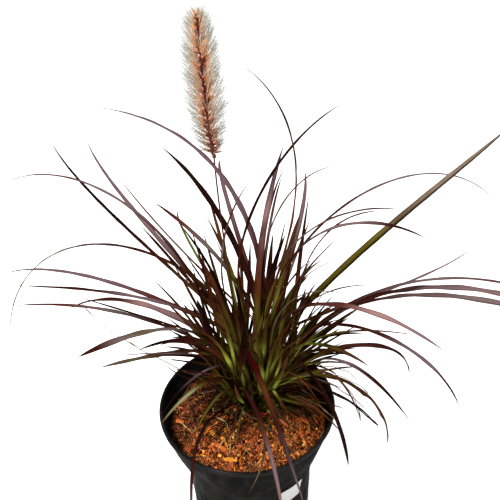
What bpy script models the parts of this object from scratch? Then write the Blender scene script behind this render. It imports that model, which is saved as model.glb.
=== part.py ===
"""A potted purple fountain grass in flower, at its real size, standing on level ground.

Metres, +Z up. The origin is the middle of the pot's underside, and -Y is the side seen first.
The pot is a black nursery pot. Twelve shoots rise from one crown in the soil, four upright and
eight leaning out round them, and every leaf blade grows from a shoot. One flower stem carries
the plume.
"""

from math import cos, pi, radians, sin
from typing import NamedTuple

import bmesh
import bpy
import numpy as np
from mathutils import Vector

TOUCH_GAP = 0.0003

# The pot. Its wall is given by radius at height, from the lip down to the foot.
POT_HEIGHT = 0.170
RIM_RADIUS = 0.0825
LIP_DEPTH = 0.0045
LIP_OVERHANG = 0.0012
WALL = 0.0014
FLOOR = 0.0030
WALL_OUTLINE = (
    (0.165, 0.0806),
    (0.150, 0.0770),
    (0.135, 0.0725),
    (0.120, 0.0675),
    (0.105, 0.0636),
    (0.085, 0.0607),
    (0.060, 0.0597),
    (0.030, 0.0590),
    (0.003, 0.0580),
)
POT_SIDES = 48
DRAIN_HOLES = 4
DRAIN_RADIUS = 0.005
DRAIN_CIRCLE = 0.044

# The soil is level round the crown and falls away to the wall.
SOIL_TOP = 0.155
SOIL_LEVEL_RADIUS = 0.050
SOIL_EDGE_TOP = 0.146
SOIL_SIDES = 40

# The label follows the wall's curve, front right.
LABEL_TOP = 0.111
LABEL_BOTTOM = 0.086
LABEL_START = -65
LABEL_ANGLE = 23
LABEL_THICKNESS = 0.0003

# The crown, where all shoots spring from.
CROWN = (0.008, 0.016)
SHOOT_FOOT_RADIUS = 0.0030
SHOOT_TOP_RADIUS = 0.0022
SHOOT_SIDES = 10

# The flower stem rises from the middle of the crown and the plume stands on it.
STEM_RADIUS = 0.0011
STEM_LENGTH = 0.256
STEM_RISE = 82.2
STEM_TIP_RISE = 88.8
STEM_BEND = 1.5
STEM_POINTS = 12
PLUME_LENGTH = 0.111
PLUME_RADIUS = 0.0178
PLUME_LEAN = 2.4
PLUME_SIDES = 14

# Leaf blades: a shallow V across, tapering to a point.
LEAF_THICKNESS = 0.0006
LEAF_FOLD = radians(15)
LEAF_FOOT_SHARE = 0.5
LEAF_TIP_WIDTH = 0.0006
LEAF_SEGMENT = 0.024
FEWEST_SEGMENTS = 5
MOST_SEGMENTS = 16

# A short red strip lying on the soil at the clump's foot.
FALLEN_LEAF_ROUTE = ((0.0119, -0.0028), (0.0170, -0.0062), (0.0221, -0.0094), (0.0286, -0.0130),
                     (0.0350, -0.0196), (0.0410, -0.0262))
FALLEN_LEAF_WIDTH = 0.0024

COLOURS = {
    "pot": (0.018, 0.019, 0.020),
    "soil": (0.235, 0.095, 0.035),
    "label": (0.80, 0.80, 0.78),
    "sheath": (0.115, 0.135, 0.030),
    "stem": (0.120, 0.085, 0.030),
    "plume": (0.420, 0.230, 0.150),
    "fallen": (0.520, 0.060, 0.050),
    "black": (0.022, 0.012, 0.014),
    "maroon": (0.075, 0.022, 0.026),
    "mauve": (0.210, 0.115, 0.120),
    "red": (0.260, 0.045, 0.060),
    "brown": (0.105, 0.055, 0.035),
    "tan": (0.240, 0.165, 0.090),
    "green": (0.130, 0.160, 0.040),
}


class Shoot(NamedTuple):
    """One upright stem of rolled leaf sheaths. Angles are in degrees."""

    azimuth: float
    lean: float
    length: float
    foot_radius: float


class Leaf(NamedTuple):
    """One blade. Angles are in degrees, lengths in metres.

    shoot is the number of the shoot that carries it, and height says how far up, from 0 to 1.
    It sets off in the direction heading, counted from +X, and turns by turn on its way. Its
    slope above level goes from rise at the foot to fall at the tip. bend says where it does
    so: below 1 near the foot, above 1 near the tip. full_width_at is the share of its length
    where it reaches its width, and the higher taper is, the blunter its tip.
    """

    shoot: int
    height: float
    heading: float
    rise: float
    fall: float
    bend: float
    length: float
    turn: float
    width: float
    colour: str
    taper: float = 4
    full_width_at: float = 0.2


INNER_SHOOTS = tuple(Shoot(45 + 90 * i, 7, 0.095, 0.0065) for i in range(4))
OUTER_SHOOTS = tuple(Shoot(22.5 + 45 * i, 23, 0.076, 0.016) for i in range(8))
SHOOTS = INNER_SHOOTS + OUTER_SHOOTS

LEAVES = (
    Leaf(1, 0.85, 30, 134, 4, 0.8, 0.260, 13, 0.0032, "black"),
    Leaf(1, 0.55, 64, 100, 22, 1.3, 0.210, 7, 0.0068, "brown"),
    Leaf(1, 0.70, 140, 91, 9, 1.1, 0.220, -12, 0.0070, "black", taper=5),
    Leaf(1, 0.80, 155, 85, 20, 0.7, 0.160, -9, 0.0050, "maroon", taper=6),
    Leaf(2, 0.75, 28, 104, 40, 2.0, 0.165, 5, 0.0030, "maroon"),
    Leaf(2, 0.85, 124, 44, -21, 0.6, 0.235, -30, 0.0028, "green"),
    Leaf(2, 0.80, 148, 40, 0, 0.6, 0.360, -34, 0.0042, "black", taper=3.5),
    Leaf(2, 0.70, 159, 54, 49, 1.2, 0.140, 0, 0.0048, "maroon"),
    Leaf(2, 0.70, 211, 66, 19, 0.6, 0.215, -10, 0.0075, "mauve"),
    Leaf(3, 0.60, 198, 109, 37, 3.2, 0.280, -26, 0.0070, "brown", taper=2.2),
    Leaf(3, 0.45, 228, 67, -42, 1.1, 0.115, -3, 0.0032, "black"),
    Leaf(3, 0.50, 229, 69, 12, 1.2, 0.150, -5, 0.0050, "maroon", taper=5),
    Leaf(3, 0.82, 280, 49, 7, 0.4, 0.225, -1, 0.0056, "red", taper=2),
    Leaf(4, 0.75, 306, 80, -25, 1.1, 0.210, 20, 0.0080, "red", taper=5),
    Leaf(4, 0.85, 327, 84, -19, 1.8, 0.220, 3, 0.0045, "maroon", taper=3),
    Leaf(5, 0.50, 301, 62, 15, 1.2, 0.180, 21, 0.0038, "green", taper=5),
    Leaf(5, 0.75, 312, 59, -22, 1.3, 0.375, 2, 0.0065, "maroon"),
    Leaf(5, 0.85, 327, 55, -42, 1.5, 0.335, -5, 0.0085, "maroon"),
    Leaf(5, 0.40, 356, 36, -84, 1.5, 0.160, 22, 0.0062, "red", taper=5),
    Leaf(6, 0.50, 12, 67, -1, 0.6, 0.380, 39, 0.0092, "tan", taper=3.5),
    Leaf(6, 0.95, 28, 85, -54, 0.8, 0.375, -6, 0.0030, "maroon", taper=6),
    Leaf(6, 0.95, 67, 23, -9, 1.0, 0.275, 20, 0.0062, "mauve", taper=3),
    Leaf(6, 0.85, 113, 61, -21, 0.8, 0.280, -24, 0.0052, "mauve"),
    Leaf(6, 0.65, 228, 95, 23, 1.1, 0.350, 13, 0.0072, "mauve"),
    Leaf(7, 0.90, 143, 47, 0, 0.6, 0.330, -34, 0.0065, "brown", taper=1.8),
    Leaf(7, 0.90, 153, 78, -75, 0.6, 0.420, 6, 0.0040, "maroon", taper=6),
    Leaf(7, 0.45, 161, 36, -39, 1.7, 0.200, 6, 0.0095, "mauve", taper=3),
    Leaf(7, 0.75, 163, 24, -30, 1.3, 0.305, -14, 0.0062, "mauve", taper=2.2),
    Leaf(8, 0.75, 158, 83, -33, 1.4, 0.305, 3, 0.0042, "maroon"),
    Leaf(8, 0.85, 201, 45, 9, 1.6, 0.185, -4, 0.0062, "maroon", taper=2.2),
    Leaf(8, 0.70, 240, 54, 17, 0.6, 0.145, -24, 0.0080, "brown", taper=6),
    Leaf(8, 0.75, 251, 60, 14, 1.1, 0.210, -17, 0.0062, "brown", taper=14),
    Leaf(10, 0.80, 170, 78, -39, 1.1, 0.090, -7, 0.0055, "maroon", taper=6),
    Leaf(10, 1.00, 231, 55, -36, 0.9, 0.085, -10, 0.0038, "green"),
    Leaf(10, 0.40, 239, 34, -89, 3.2, 0.195, 41, 0.0030, "brown"),
    Leaf(10, 0.80, 285, 39, -88, 1.4, 0.155, -1, 0.0038, "mauve"),
    Leaf(11, 0.85, 293, 63, -68, 1.9, 0.175, -7, 0.0028, "black", taper=20, full_width_at=0.9),
    Leaf(11, 0.50, 312, 40, -27, 1.4, 0.085, 1, 0.0040, "brown"),
    Leaf(11, 0.90, 355, 68, -38, 1.2, 0.285, -9, 0.0037, "maroon", taper=3),
    Leaf(11, 0.60, 357, 61, -88, 0.7, 0.155, -17, 0.0040, "brown", taper=9),
    Leaf(12, 0.55, 294, 56, 0, 1.8, 0.225, -7, 0.0036, "brown", taper=5),
    Leaf(12, 0.70, 314, 91, -68, 1.0, 0.220, 22, 0.0046, "maroon", taper=9, full_width_at=0.85),
)


def clear_scene():
    for obj in list(bpy.data.objects):
        bpy.data.objects.remove(obj, do_unlink=True)


def new_collection(name):
    collection = bpy.data.collections.new(name)
    bpy.context.scene.collection.children.link(collection)
    return collection


def new_material(name, colour, roughness, metallic=0.0):
    material = bpy.data.materials.new(name)
    material.use_nodes = True
    shader = material.node_tree.nodes["Principled BSDF"]
    shader.inputs["Base Color"].default_value = (*colour, 1.0)
    shader.inputs["Roughness"].default_value = roughness
    shader.inputs["Metallic"].default_value = metallic
    return material


def new_object(name, mesh, collection, material):
    obj = bpy.data.objects.new(name, mesh)
    mesh.materials.append(material)
    collection.objects.link(obj)
    return obj


def shade_round(obj, angle=40):
    obj.data.shade_smooth()
    obj.data.set_sharp_from_angle(angle=radians(angle))


def turned(name, outline, sides, collection, material, angle=360):
    """Turns an outline of (radius, height) points about Z with a Screw modifier."""
    mesh = bpy.data.meshes.new(name)
    points = [(radius, 0.0, height) for radius, height in outline]
    edges = [(i, i + 1) for i in range(len(points) - 1)]
    mesh.from_pydata(points, edges, [])
    obj = new_object(name, mesh, collection, material)
    screw = obj.modifiers.new("Turn", "SCREW")
    screw.axis = "Z"
    screw.angle = radians(angle)
    screw.steps = sides
    screw.render_steps = sides
    screw.use_merge_vertices = angle == 360
    screw.merge_threshold = 0.00005
    screw.use_smooth_shade = True
    return obj


def wall_radius(height):
    """The wall's outer radius at a height, read off the pot's outline."""
    heights = [point[0] for point in reversed(WALL_OUTLINE)]
    radii = [point[1] for point in reversed(WALL_OUTLINE)]
    return float(np.interp(height, heights, radii))


def pot_outline():
    """From the middle of the floor up the inner wall, over the lip, and down the outside."""
    inner = [(wall_radius(FLOOR) - WALL, FLOOR)]
    inner += [(radius - WALL, height) for height, radius in reversed(WALL_OUTLINE[:-1])]
    lip_inside = RIM_RADIUS - LIP_OVERHANG - WALL
    lip_foot = POT_HEIGHT - LIP_DEPTH
    lip = [
        (lip_inside, POT_HEIGHT - 0.0008),
        (lip_inside + 0.0007, POT_HEIGHT),
        (RIM_RADIUS - 0.0007, POT_HEIGHT),
        (RIM_RADIUS, POT_HEIGHT - 0.0008),
        (RIM_RADIUS, lip_foot),
    ]
    outer = [(radius, height) for height, radius in WALL_OUTLINE]
    underside = [(wall_radius(FLOOR) - 0.001, 0.0), (0.0, 0.0)]
    return [(0.0, FLOOR)] + inner + lip + outer + underside


def build_pot(parts, cutters, material):
    pot = turned("pot", pot_outline(), POT_SIDES, parts, material)
    for i in range(DRAIN_HOLES):
        angle = pi / DRAIN_HOLES + 2 * pi * i / DRAIN_HOLES
        bpy.ops.mesh.primitive_cylinder_add(
            vertices=12, radius=DRAIN_RADIUS, depth=4 * FLOOR,
            location=(DRAIN_CIRCLE * cos(angle), DRAIN_CIRCLE * sin(angle), 0.0))
        cutter = bpy.context.object
        cutter.name = f"drain_cutter_{i + 1}"
        for collection in cutter.users_collection:
            collection.objects.unlink(cutter)
        cutters.objects.link(cutter)
        cutter.hide_render = True
        cutter.display_type = "WIRE"
        cut = pot.modifiers.new(f"Drain {i + 1}", "BOOLEAN")
        cut.operation = "DIFFERENCE"
        cut.object = cutter
    return pot


def build_soil(parts, material):
    """Fills the pot to just inside its wall, a gap away from it."""
    levels = [height for height, _ in WALL_OUTLINE if 0.02 < height < SOIL_EDGE_TOP - 0.005]
    outline = [(0.0, SOIL_TOP), (SOIL_LEVEL_RADIUS, SOIL_TOP)]
    inside = WALL + TOUCH_GAP
    shoulder = wall_radius(SOIL_EDGE_TOP) - inside
    outline.append((0.5 * (SOIL_LEVEL_RADIUS + shoulder), SOIL_TOP - 0.4 * (SOIL_TOP - SOIL_EDGE_TOP)))
    outline.append((shoulder, SOIL_EDGE_TOP))
    outline += [(wall_radius(height) - inside, height) for height in levels]
    foot = FLOOR + TOUCH_GAP
    outline += [(wall_radius(FLOOR) - inside, foot), (0.0, foot)]
    return turned("soil", outline, SOIL_SIDES, parts, material)


def build_label(parts, material):
    """A blank sticker: part of a turned sheet that lies on the wall, made solid outwards."""
    middle = 0.5 * (LABEL_TOP + LABEL_BOTTOM)
    outline = [(wall_radius(height) + 2 * TOUCH_GAP, height) for height in (LABEL_TOP, middle, LABEL_BOTTOM)]
    label = turned("pot_label", outline, 8, parts, material, LABEL_ANGLE)
    label.rotation_euler = (0, 0, radians(LABEL_START))
    solid = label.modifiers.new("Thickness", "SOLIDIFY")
    solid.thickness = LABEL_THICKNESS
    solid.offset = 1
    return label


def shoot_axis(shoot):
    """The foot of a shoot, and the direction in which it rises."""
    azimuth = radians(shoot.azimuth)
    lean = radians(shoot.lean)
    outward = Vector((cos(azimuth), sin(azimuth), 0.0))
    foot = Vector((*CROWN, SOIL_TOP + TOUCH_GAP)) + outward * shoot.foot_radius
    return foot, outward * sin(lean) + Vector((0.0, 0.0, cos(lean)))


def build_shoot(name, shoot, parts, material):
    """A tapering ten-sided stem. Its foot is lifted so that the leaning cut clears the soil."""
    foot, direction = shoot_axis(shoot)
    lift = SHOOT_FOOT_RADIUS * sin(radians(shoot.lean))
    length = shoot.length - lift
    shape = bmesh.new()
    bmesh.ops.create_cone(shape, cap_ends=True, segments=SHOOT_SIDES, radius1=SHOOT_FOOT_RADIUS,
                          radius2=SHOOT_TOP_RADIUS, depth=length)
    bmesh.ops.translate(shape, verts=shape.verts, vec=(0.0, 0.0, lift + length / 2))
    mesh = bpy.data.meshes.new(name)
    shape.to_mesh(mesh)
    shape.free()
    obj = new_object(name, mesh, parts, material)
    obj.location = foot
    obj.rotation_mode = "QUATERNION"
    obj.rotation_quaternion = direction.to_track_quat("Z", "Y")
    shade_round(obj)
    return obj


def blade_width(leaf, along):
    """Half width at the foot, soon full, then tapering to the tip."""
    swell = LEAF_FOOT_SHARE + (1 - LEAF_FOOT_SHARE) * np.clip(along / leaf.full_width_at, 0, 1)
    return np.maximum(leaf.width * swell * (1 - along**leaf.taper) ** 0.75, LEAF_TIP_WIDTH)


def directions(leaf, along):
    """Unit vectors along the blade, sideways across it and square to its face."""
    slope = np.radians(leaf.rise + (leaf.fall - leaf.rise) * along**leaf.bend)
    heading = np.radians(leaf.heading + leaf.turn * along)
    level = np.zeros_like(along)
    forward = np.stack([np.cos(slope) * np.cos(heading), np.cos(slope) * np.sin(heading), np.sin(slope)], 1)
    sideways = np.stack([-np.sin(heading), np.cos(heading), level], 1)
    return forward, sideways, np.cross(forward, sideways)


def leaf_foot(leaf):
    """Where the blade leaves its shoot: on the side it grows to, clear of the shoot by the gap."""
    shoot = SHOOTS[leaf.shoot - 1]
    foot, axis = shoot_axis(shoot)
    forward, sideways, _ = directions(leaf, np.zeros(1))
    out = Vector(forward[0])
    out -= axis * out.dot(axis)
    out.normalize()
    radius = SHOOT_FOOT_RADIUS + (SHOOT_TOP_RADIUS - SHOOT_FOOT_RADIUS) * leaf.height
    half_width = blade_width(leaf, np.zeros(1))[0] / 2
    edge_reach = half_width * (abs(Vector(sideways[0]).dot(out)) + sin(LEAF_FOLD))
    clear = radius + TOUCH_GAP + LEAF_THICKNESS / 2 + edge_reach
    return foot + axis * shoot.length * leaf.height + out * clear


def build_leaf(name, leaf, parts, material):
    """A strip of quads three points wide, laid along the blade's curve and made solid."""
    count = round(min(MOST_SEGMENTS, max(FEWEST_SEGMENTS, leaf.length / LEAF_SEGMENT)))
    along = np.linspace(0, 1, count + 1)
    steps = directions(leaf, 0.5 * (along[1:] + along[:-1]))[0] * leaf.length / count
    spine = np.array(leaf_foot(leaf)) + np.vstack([np.zeros(3), np.cumsum(steps, axis=0)])
    _, sideways, face = directions(leaf, along)
    half = blade_width(leaf, along)[:, None] / 2

    strip = bmesh.new()
    bmesh.ops.create_grid(strip, x_segments=2, y_segments=count, size=1)
    for vert in strip.verts:
        row = round((vert.co.y + 1) / 2 * count)
        side = round(vert.co.x)
        across = side * half[row] * cos(LEAF_FOLD) * sideways[row]
        raised = abs(side) * half[row] * sin(LEAF_FOLD) * face[row]
        vert.co = Vector(spine[row] + across + raised)
    mesh = bpy.data.meshes.new(name)
    strip.to_mesh(mesh)
    strip.free()
    obj = new_object(name, mesh, parts, material)
    shade_round(obj, 60)
    solid = obj.modifiers.new("Thickness", "SOLIDIFY")
    solid.thickness = LEAF_THICKNESS
    solid.offset = 0
    return obj


def stem_route():
    """The flower stem's centre line: nearly upright, leaning to -X and straightening."""
    along = np.linspace(0, 1, STEM_POINTS)
    middle = 0.5 * (along[1:] + along[:-1])
    slope = np.radians(STEM_RISE + (STEM_TIP_RISE - STEM_RISE) * middle**STEM_BEND)
    steps = np.stack([-np.cos(slope), 0 * slope, np.sin(slope)], 1) * STEM_LENGTH / (STEM_POINTS - 1)
    start = np.array([*CROWN, SOIL_TOP + TOUCH_GAP])
    return start + np.vstack([np.zeros(3), np.cumsum(steps, axis=0)])


def build_stem(parts, material):
    curve = bpy.data.curves.new("flower_stem", "CURVE")
    curve.dimensions = "3D"
    curve.bevel_depth = STEM_RADIUS
    curve.bevel_resolution = 1
    curve.use_fill_caps = True
    spline = curve.splines.new("POLY")
    route = stem_route()
    spline.points.add(len(route) - 1)
    for point, place in zip(spline.points, route):
        point.co = (*place, 1.0)
    stem = bpy.data.objects.new("flower_stem", curve)
    curve.materials.append(material)
    parts.objects.link(stem)
    return stem


def build_plume(parts, material):
    """The bottlebrush head out to its bristle tips: blunt at the top, drawn in at the foot."""
    shares = ((0.0, 0.0), (0.0, 0.20), (0.06, 0.62), (0.13, 0.88), (0.28, 0.98), (0.42, 1.0), (0.55, 1.0),
              (0.74, 0.86), (0.84, 0.73), (0.92, 0.60), (0.97, 0.42), (1.0, 0.15), (1.0, 0.0))
    outline = [(PLUME_RADIUS * wide, PLUME_LENGTH * high) for high, wide in reversed(shares)]
    plume = turned("plume", outline, PLUME_SIDES, parts, material)
    plume.location = Vector(stem_route()[-1]) + Vector((0.0, 0.0, 2 * TOUCH_GAP))
    plume.rotation_euler = (0.0, -radians(PLUME_LEAN), 0.0)
    return plume


def build_fallen_leaf(parts, material):
    """A thin strip lying flat on the level part of the soil."""
    route = np.array(FALLEN_LEAF_ROUTE)
    forward = np.gradient(route, axis=0)
    forward /= np.hypot(forward[:, 0], forward[:, 1])[:, None]
    sideways = np.stack([-forward[:, 1], forward[:, 0]], 1)
    count = len(route) - 1
    height = SOIL_TOP + TOUCH_GAP + LEAF_THICKNESS / 2
    strip = bmesh.new()
    bmesh.ops.create_grid(strip, x_segments=1, y_segments=count, size=1)
    for vert in strip.verts:
        row = round((vert.co.y + 1) / 2 * count)
        taper = 1 - 0.75 * abs(2 * row / count - 1) ** 3
        place = route[row] + sideways[row] * vert.co.x * taper * FALLEN_LEAF_WIDTH / 2
        vert.co = Vector((*place, height))
    mesh = bpy.data.meshes.new("fallen_leaf")
    strip.to_mesh(mesh)
    strip.free()
    obj = new_object("fallen_leaf", mesh, parts, material)
    solid = obj.modifiers.new("Thickness", "SOLIDIFY")
    solid.thickness = LEAF_THICKNESS
    solid.offset = 0
    return obj


def main():
    clear_scene()
    parts = new_collection("potted_fountain_grass")
    cutters = new_collection("cutters")
    glossy = {"pot": 0.38, "label": 0.45}
    finishes = {name: new_material(name, colour, glossy.get(name, 0.55)) for name, colour in COLOURS.items()}

    build_pot(parts, cutters, finishes["pot"])
    build_soil(parts, finishes["soil"])
    build_label(parts, finishes["label"])
    for number, shoot in enumerate(SHOOTS, 1):
        build_shoot(f"shoot_{number:02d}", shoot, parts, finishes["sheath"])
    for number, leaf in enumerate(LEAVES, 1):
        build_leaf(f"leaf_{number:02d}", leaf, parts, finishes[leaf.colour])
    build_stem(parts, finishes["stem"])
    build_plume(parts, finishes["plume"])
    build_fallen_leaf(parts, finishes["fallen"])


main()
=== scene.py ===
"""The looks of a potted purple fountain grass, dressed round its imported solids.

Metres, +Z up. The pot's underside is at the origin and -Y is the side seen first. Every blade,
shoot, stem and plume is worked out again from the sizes of its solid, as a fine surface that
stands for that solid. What is too small to be a solid, such as bristles, thin blades, crumbs of
soil and dry litter, is joined into a few meshes that lie on the solids.
"""

from __future__ import annotations

import logging
from collections.abc import Sequence
from dataclasses import dataclass
from enum import Enum
from typing import Any, ClassVar

import bpy
import numpy as np
from mathutils import Matrix, Vector

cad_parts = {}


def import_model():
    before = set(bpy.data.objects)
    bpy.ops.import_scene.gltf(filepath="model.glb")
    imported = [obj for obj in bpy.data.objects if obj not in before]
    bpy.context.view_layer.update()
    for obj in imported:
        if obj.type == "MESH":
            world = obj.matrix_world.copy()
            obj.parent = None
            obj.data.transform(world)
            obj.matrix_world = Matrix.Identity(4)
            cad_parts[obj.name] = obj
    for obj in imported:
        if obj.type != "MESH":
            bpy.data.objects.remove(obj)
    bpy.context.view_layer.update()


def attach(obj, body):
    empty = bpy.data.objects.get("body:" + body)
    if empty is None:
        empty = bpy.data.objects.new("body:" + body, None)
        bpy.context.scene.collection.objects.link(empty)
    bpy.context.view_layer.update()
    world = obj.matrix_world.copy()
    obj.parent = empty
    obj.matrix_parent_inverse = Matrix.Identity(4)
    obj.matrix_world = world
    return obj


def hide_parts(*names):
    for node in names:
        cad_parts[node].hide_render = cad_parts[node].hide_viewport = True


LOG = logging.getLogger("fountain_grass")
Array = np.ndarray
Draw = np.random.Generator
Socket = bpy.types.NodeSocket
Pair = tuple[float, float]
Triple = tuple[float, float, float]

BODY = "root"
TOUCH_GAP = 0.0003
CROWN = (0.008, 0.016)
SOIL_TOP = 0.155
SHOOT_FOOT_RADIUS = 0.003
SHOOT_TOP_RADIUS = 0.0022
WHITE = (1.0, 1.0, 1.0, 1.0)


class Tint(Enum):
    """Pigments of plant, soil and pot, as linear red, green and blue. LIME, MAUVE, ROSE and ASH also hold
    painted light.
    """

    # LIME: the blades' own green at their feet, with painted light shining through backlit blades added in.
    LIME = (0.25, 0.31, 0.046)
    OLIVE = (0.078, 0.063, 0.008)
    MOSS = (0.027, 0.023, 0.003)
    MAHOGANY = (0.074, 0.022, 0.007)
    MAROON = (0.029, 0.0066, 0.0042)
    WINE = (0.066, 0.019, 0.014)
    SOOT = (0.0085, 0.0028, 0.0018)
    # MAUVE, ROSE and ASH: the blades' own dusky purple, lightened by a painted greyish sheen and painted
    # highlights on their upper faces.
    MAUVE = (0.125, 0.08, 0.086)
    ROSE = (0.205, 0.118, 0.112)
    ASH = (0.112, 0.084, 0.08)
    MAGENTA = (0.032, 0.002, 0.0025)
    UMBER = (0.048, 0.021, 0.0075)
    RUST = (0.14, 0.034, 0.007)
    TAN = (0.094, 0.07, 0.04)
    CREAM = (0.5, 0.43, 0.23)
    STRAW = (0.45, 0.27, 0.085)
    ORANGE = (0.5, 0.118, 0.026)
    AMBER = (0.6, 0.225, 0.032)
    PEAT = (0.012, 0.006, 0.003)
    PERLITE = (0.62, 0.57, 0.48)
    SCARLET = (0.52, 0.02, 0.03)
    CORAL = (0.56, 0.145, 0.065)
    OXBLOOD = (0.12, 0.012, 0.003)
    PEACH = (0.8, 0.33, 0.15)
    GOLD = (0.85, 0.6, 0.31)
    SILVER = (0.34, 0.345, 0.315)
    FAWN = (0.2, 0.158, 0.112)
    SAGE = (0.19, 0.195, 0.1)
    DUSK = (0.05, 0.033, 0.034)
    MEADOW = (0.05, 0.078, 0.014)


class Look(Enum):
    """How a blade is coloured from foot to tip, and the slot that the finish belongs to."""

    BLACK = ("leaf_black", "0 MOSS, 0.15 UMBER, 0.3 MAROON, 0.5 SOOT, 1 SOOT")
    MAROON = ("leaf_maroon", "0 OLIVE, 0.18 OLIVE, 0.34 MAHOGANY, 0.6 MAROON, 1 SOOT")
    DUSKY = ("leaf_maroon", "0 OLIVE, 0.15 UMBER, 0.35 MAROON, 0.6 ASH, 0.8 WINE, 1 SOOT")
    MAUVE = ("leaf_mauve", "0 OLIVE, 0.12 MAHOGANY, 0.3 WINE, 0.48 MAUVE, 0.8 MAUVE, 1 ASH")
    RED = ("leaf_red", "0 MAROON, 0.2 UMBER, 0.45 WINE, 0.62 WINE, 0.75 ROSE, 1 MAUVE")
    BROWN = ("leaf_brown", "0 OLIVE, 0.22 OLIVE, 0.5 UMBER, 0.75 MAHOGANY, 1 SOOT")
    RUSSET = ("leaf_brown", "0 OLIVE, 0.25 OLIVE, 0.36 MAHOGANY, 0.5 WINE, 0.68 ROSE, 0.82 MAUVE, 1 MAROON")
    TAN = ("leaf_tan", "0 MAROON, 0.15 UMBER, 0.3 OLIVE, 0.45 TAN, 0.7 TAN, 1 ASH")
    GREEN = ("leaf_green", "0 MOSS, 0.15 OLIVE, 0.28 LIME, 0.5 OLIVE, 0.75 UMBER, 1 MAHOGANY")

    @property
    def slot(self) -> str:
        """The record's material slot."""
        return self.value[0]

    @property
    def stops(self) -> str:
        """Shares of the length and the pigment there."""
        return self.value[1]


BLACK, MAROON, DUSKY, MAUVE, RED, BROWN, RUSSET, TAN, GREEN = Look


def pigments(names: Sequence[str]) -> Array:
    """The colours of the named pigments, one a row."""
    return np.array([Tint[name].value for name in names])


def colour_along(stops: str, along: Array) -> Array:
    """Runs from one pigment to the next along a piece.

    Args:
        stops: shares of the length, rising, each followed by its pigment, with commas between.
        along: shares to read the colour at, of any shape.

    Returns:
        Colours, with one more axis than along: each channel is a straight line between stops.
    """
    pairs = [stop.split() for stop in stops.split(", ")]
    shares = [float(share) for share, _ in pairs]
    channels = pigments([name for _, name in pairs])
    return np.stack([np.interp(along, shares, channels[:, i]) for i in range(3)], -1)


def unit(vectors: Array) -> Array:
    """Vectors along the last axis, each divided by its own length."""
    return vectors / np.maximum(np.linalg.norm(vectors, axis=-1, keepdims=True), 1e-12)


def ease(share: Array) -> Array:
    """A smooth step: three times the square less twice the cube of the share, held in 0 to 1."""
    held = np.clip(share, 0.0, 1.0)
    return held * held * (3.0 - 2.0 * held)


def swelling(share: Array, places: Sequence[float], height: float, spread: float) -> Array | float:
    """Bell curves of one height and spread, about each of the places, added up."""
    return sum(height * np.exp(-(((share - at) / spread) ** 2)) for at in places)


def level_directions(angles: Array) -> Array:
    """Level unit vectors at angles from +X, in radians."""
    return np.stack([np.cos(angles), np.sin(angles), np.zeros_like(angles)], -1)


def fanned(angle: Array, first: Array, second: Array) -> Array:
    """Directions that lie at an angle, in radians, from the first towards the second."""
    return np.cos(angle)[..., None] * first + np.sin(angle)[..., None] * second


@dataclass
class Shape:
    """A surface worked out as arrays, before it becomes a mesh.

    Attributes:
        points: a place for each vertex.
        quads: four corner numbers a row, counter-clockwise seen from outside.
        triangles: three corner numbers a row, the same way round.
        tint: a linear colour for each vertex.
        lie: for each vertex how far across, how far along, and its small piece's own number.
    """

    points: Array
    quads: Array
    triangles: Array
    tint: Array
    lie: Array

    @staticmethod
    def joined(shapes: Sequence[Shape]) -> Shape:
        """Puts shapes side by side in one.

        Args:
            shapes: what to join, in order.

        Returns:
            One shape, whose corner numbers are each moved on by the vertices before them.
        """
        starts = np.cumsum([0] + [len(shape.points) for shape in shapes[:-1]])
        parts = [(shape.points, shape.quads + start, shape.triangles + start, shape.tint, shape.lie)
                 for shape, start in zip(shapes, starts)]
        return Shape(*(np.concatenate(arrays) for arrays in zip(*parts)))

    def mesh(self, name: str, sharp_angle: float) -> bpy.types.Mesh:
        """Writes the arrays into a mesh.

        Args:
            name: the mesh's name.
            sharp_angle: edges that turn by more than this, in degrees, stay sharp.

        Returns:
            The mesh, with the attributes tint and lie on its vertices.
        """
        mesh = bpy.data.meshes.new(name)
        corners = np.concatenate([self.quads.ravel(), self.triangles.ravel()]).astype(np.int32)
        quad_starts = 4 * np.arange(len(self.quads))
        triangle_starts = 4 * len(self.quads) + 3 * np.arange(len(self.triangles))
        mesh.vertices.add(len(self.points))
        mesh.vertices.foreach_set("co", self.points.astype(np.float32).ravel())
        mesh.loops.add(len(corners))
        mesh.loops.foreach_set("vertex_index", corners)
        mesh.polygons.add(len(self.quads) + len(self.triangles))
        starts = np.concatenate([quad_starts, triangle_starts]).astype(np.int32)
        mesh.polygons.foreach_set("loop_start", starts)
        mesh.update(calc_edges=True)
        opaque = np.concatenate([self.tint, np.ones((len(self.tint), 1))], 1).astype(np.float32)
        tint = mesh.attributes.new("tint", "FLOAT_COLOR", "POINT")
        tint.data.foreach_set("color", opaque.ravel())
        lie = mesh.attributes.new("lie", "FLOAT_VECTOR", "POINT")
        lie.data.foreach_set("vector", self.lie.astype(np.float32).ravel())
        mesh.shade_smooth()
        mesh.set_sharp_from_angle(angle=np.radians(sharp_angle))
        return mesh


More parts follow.
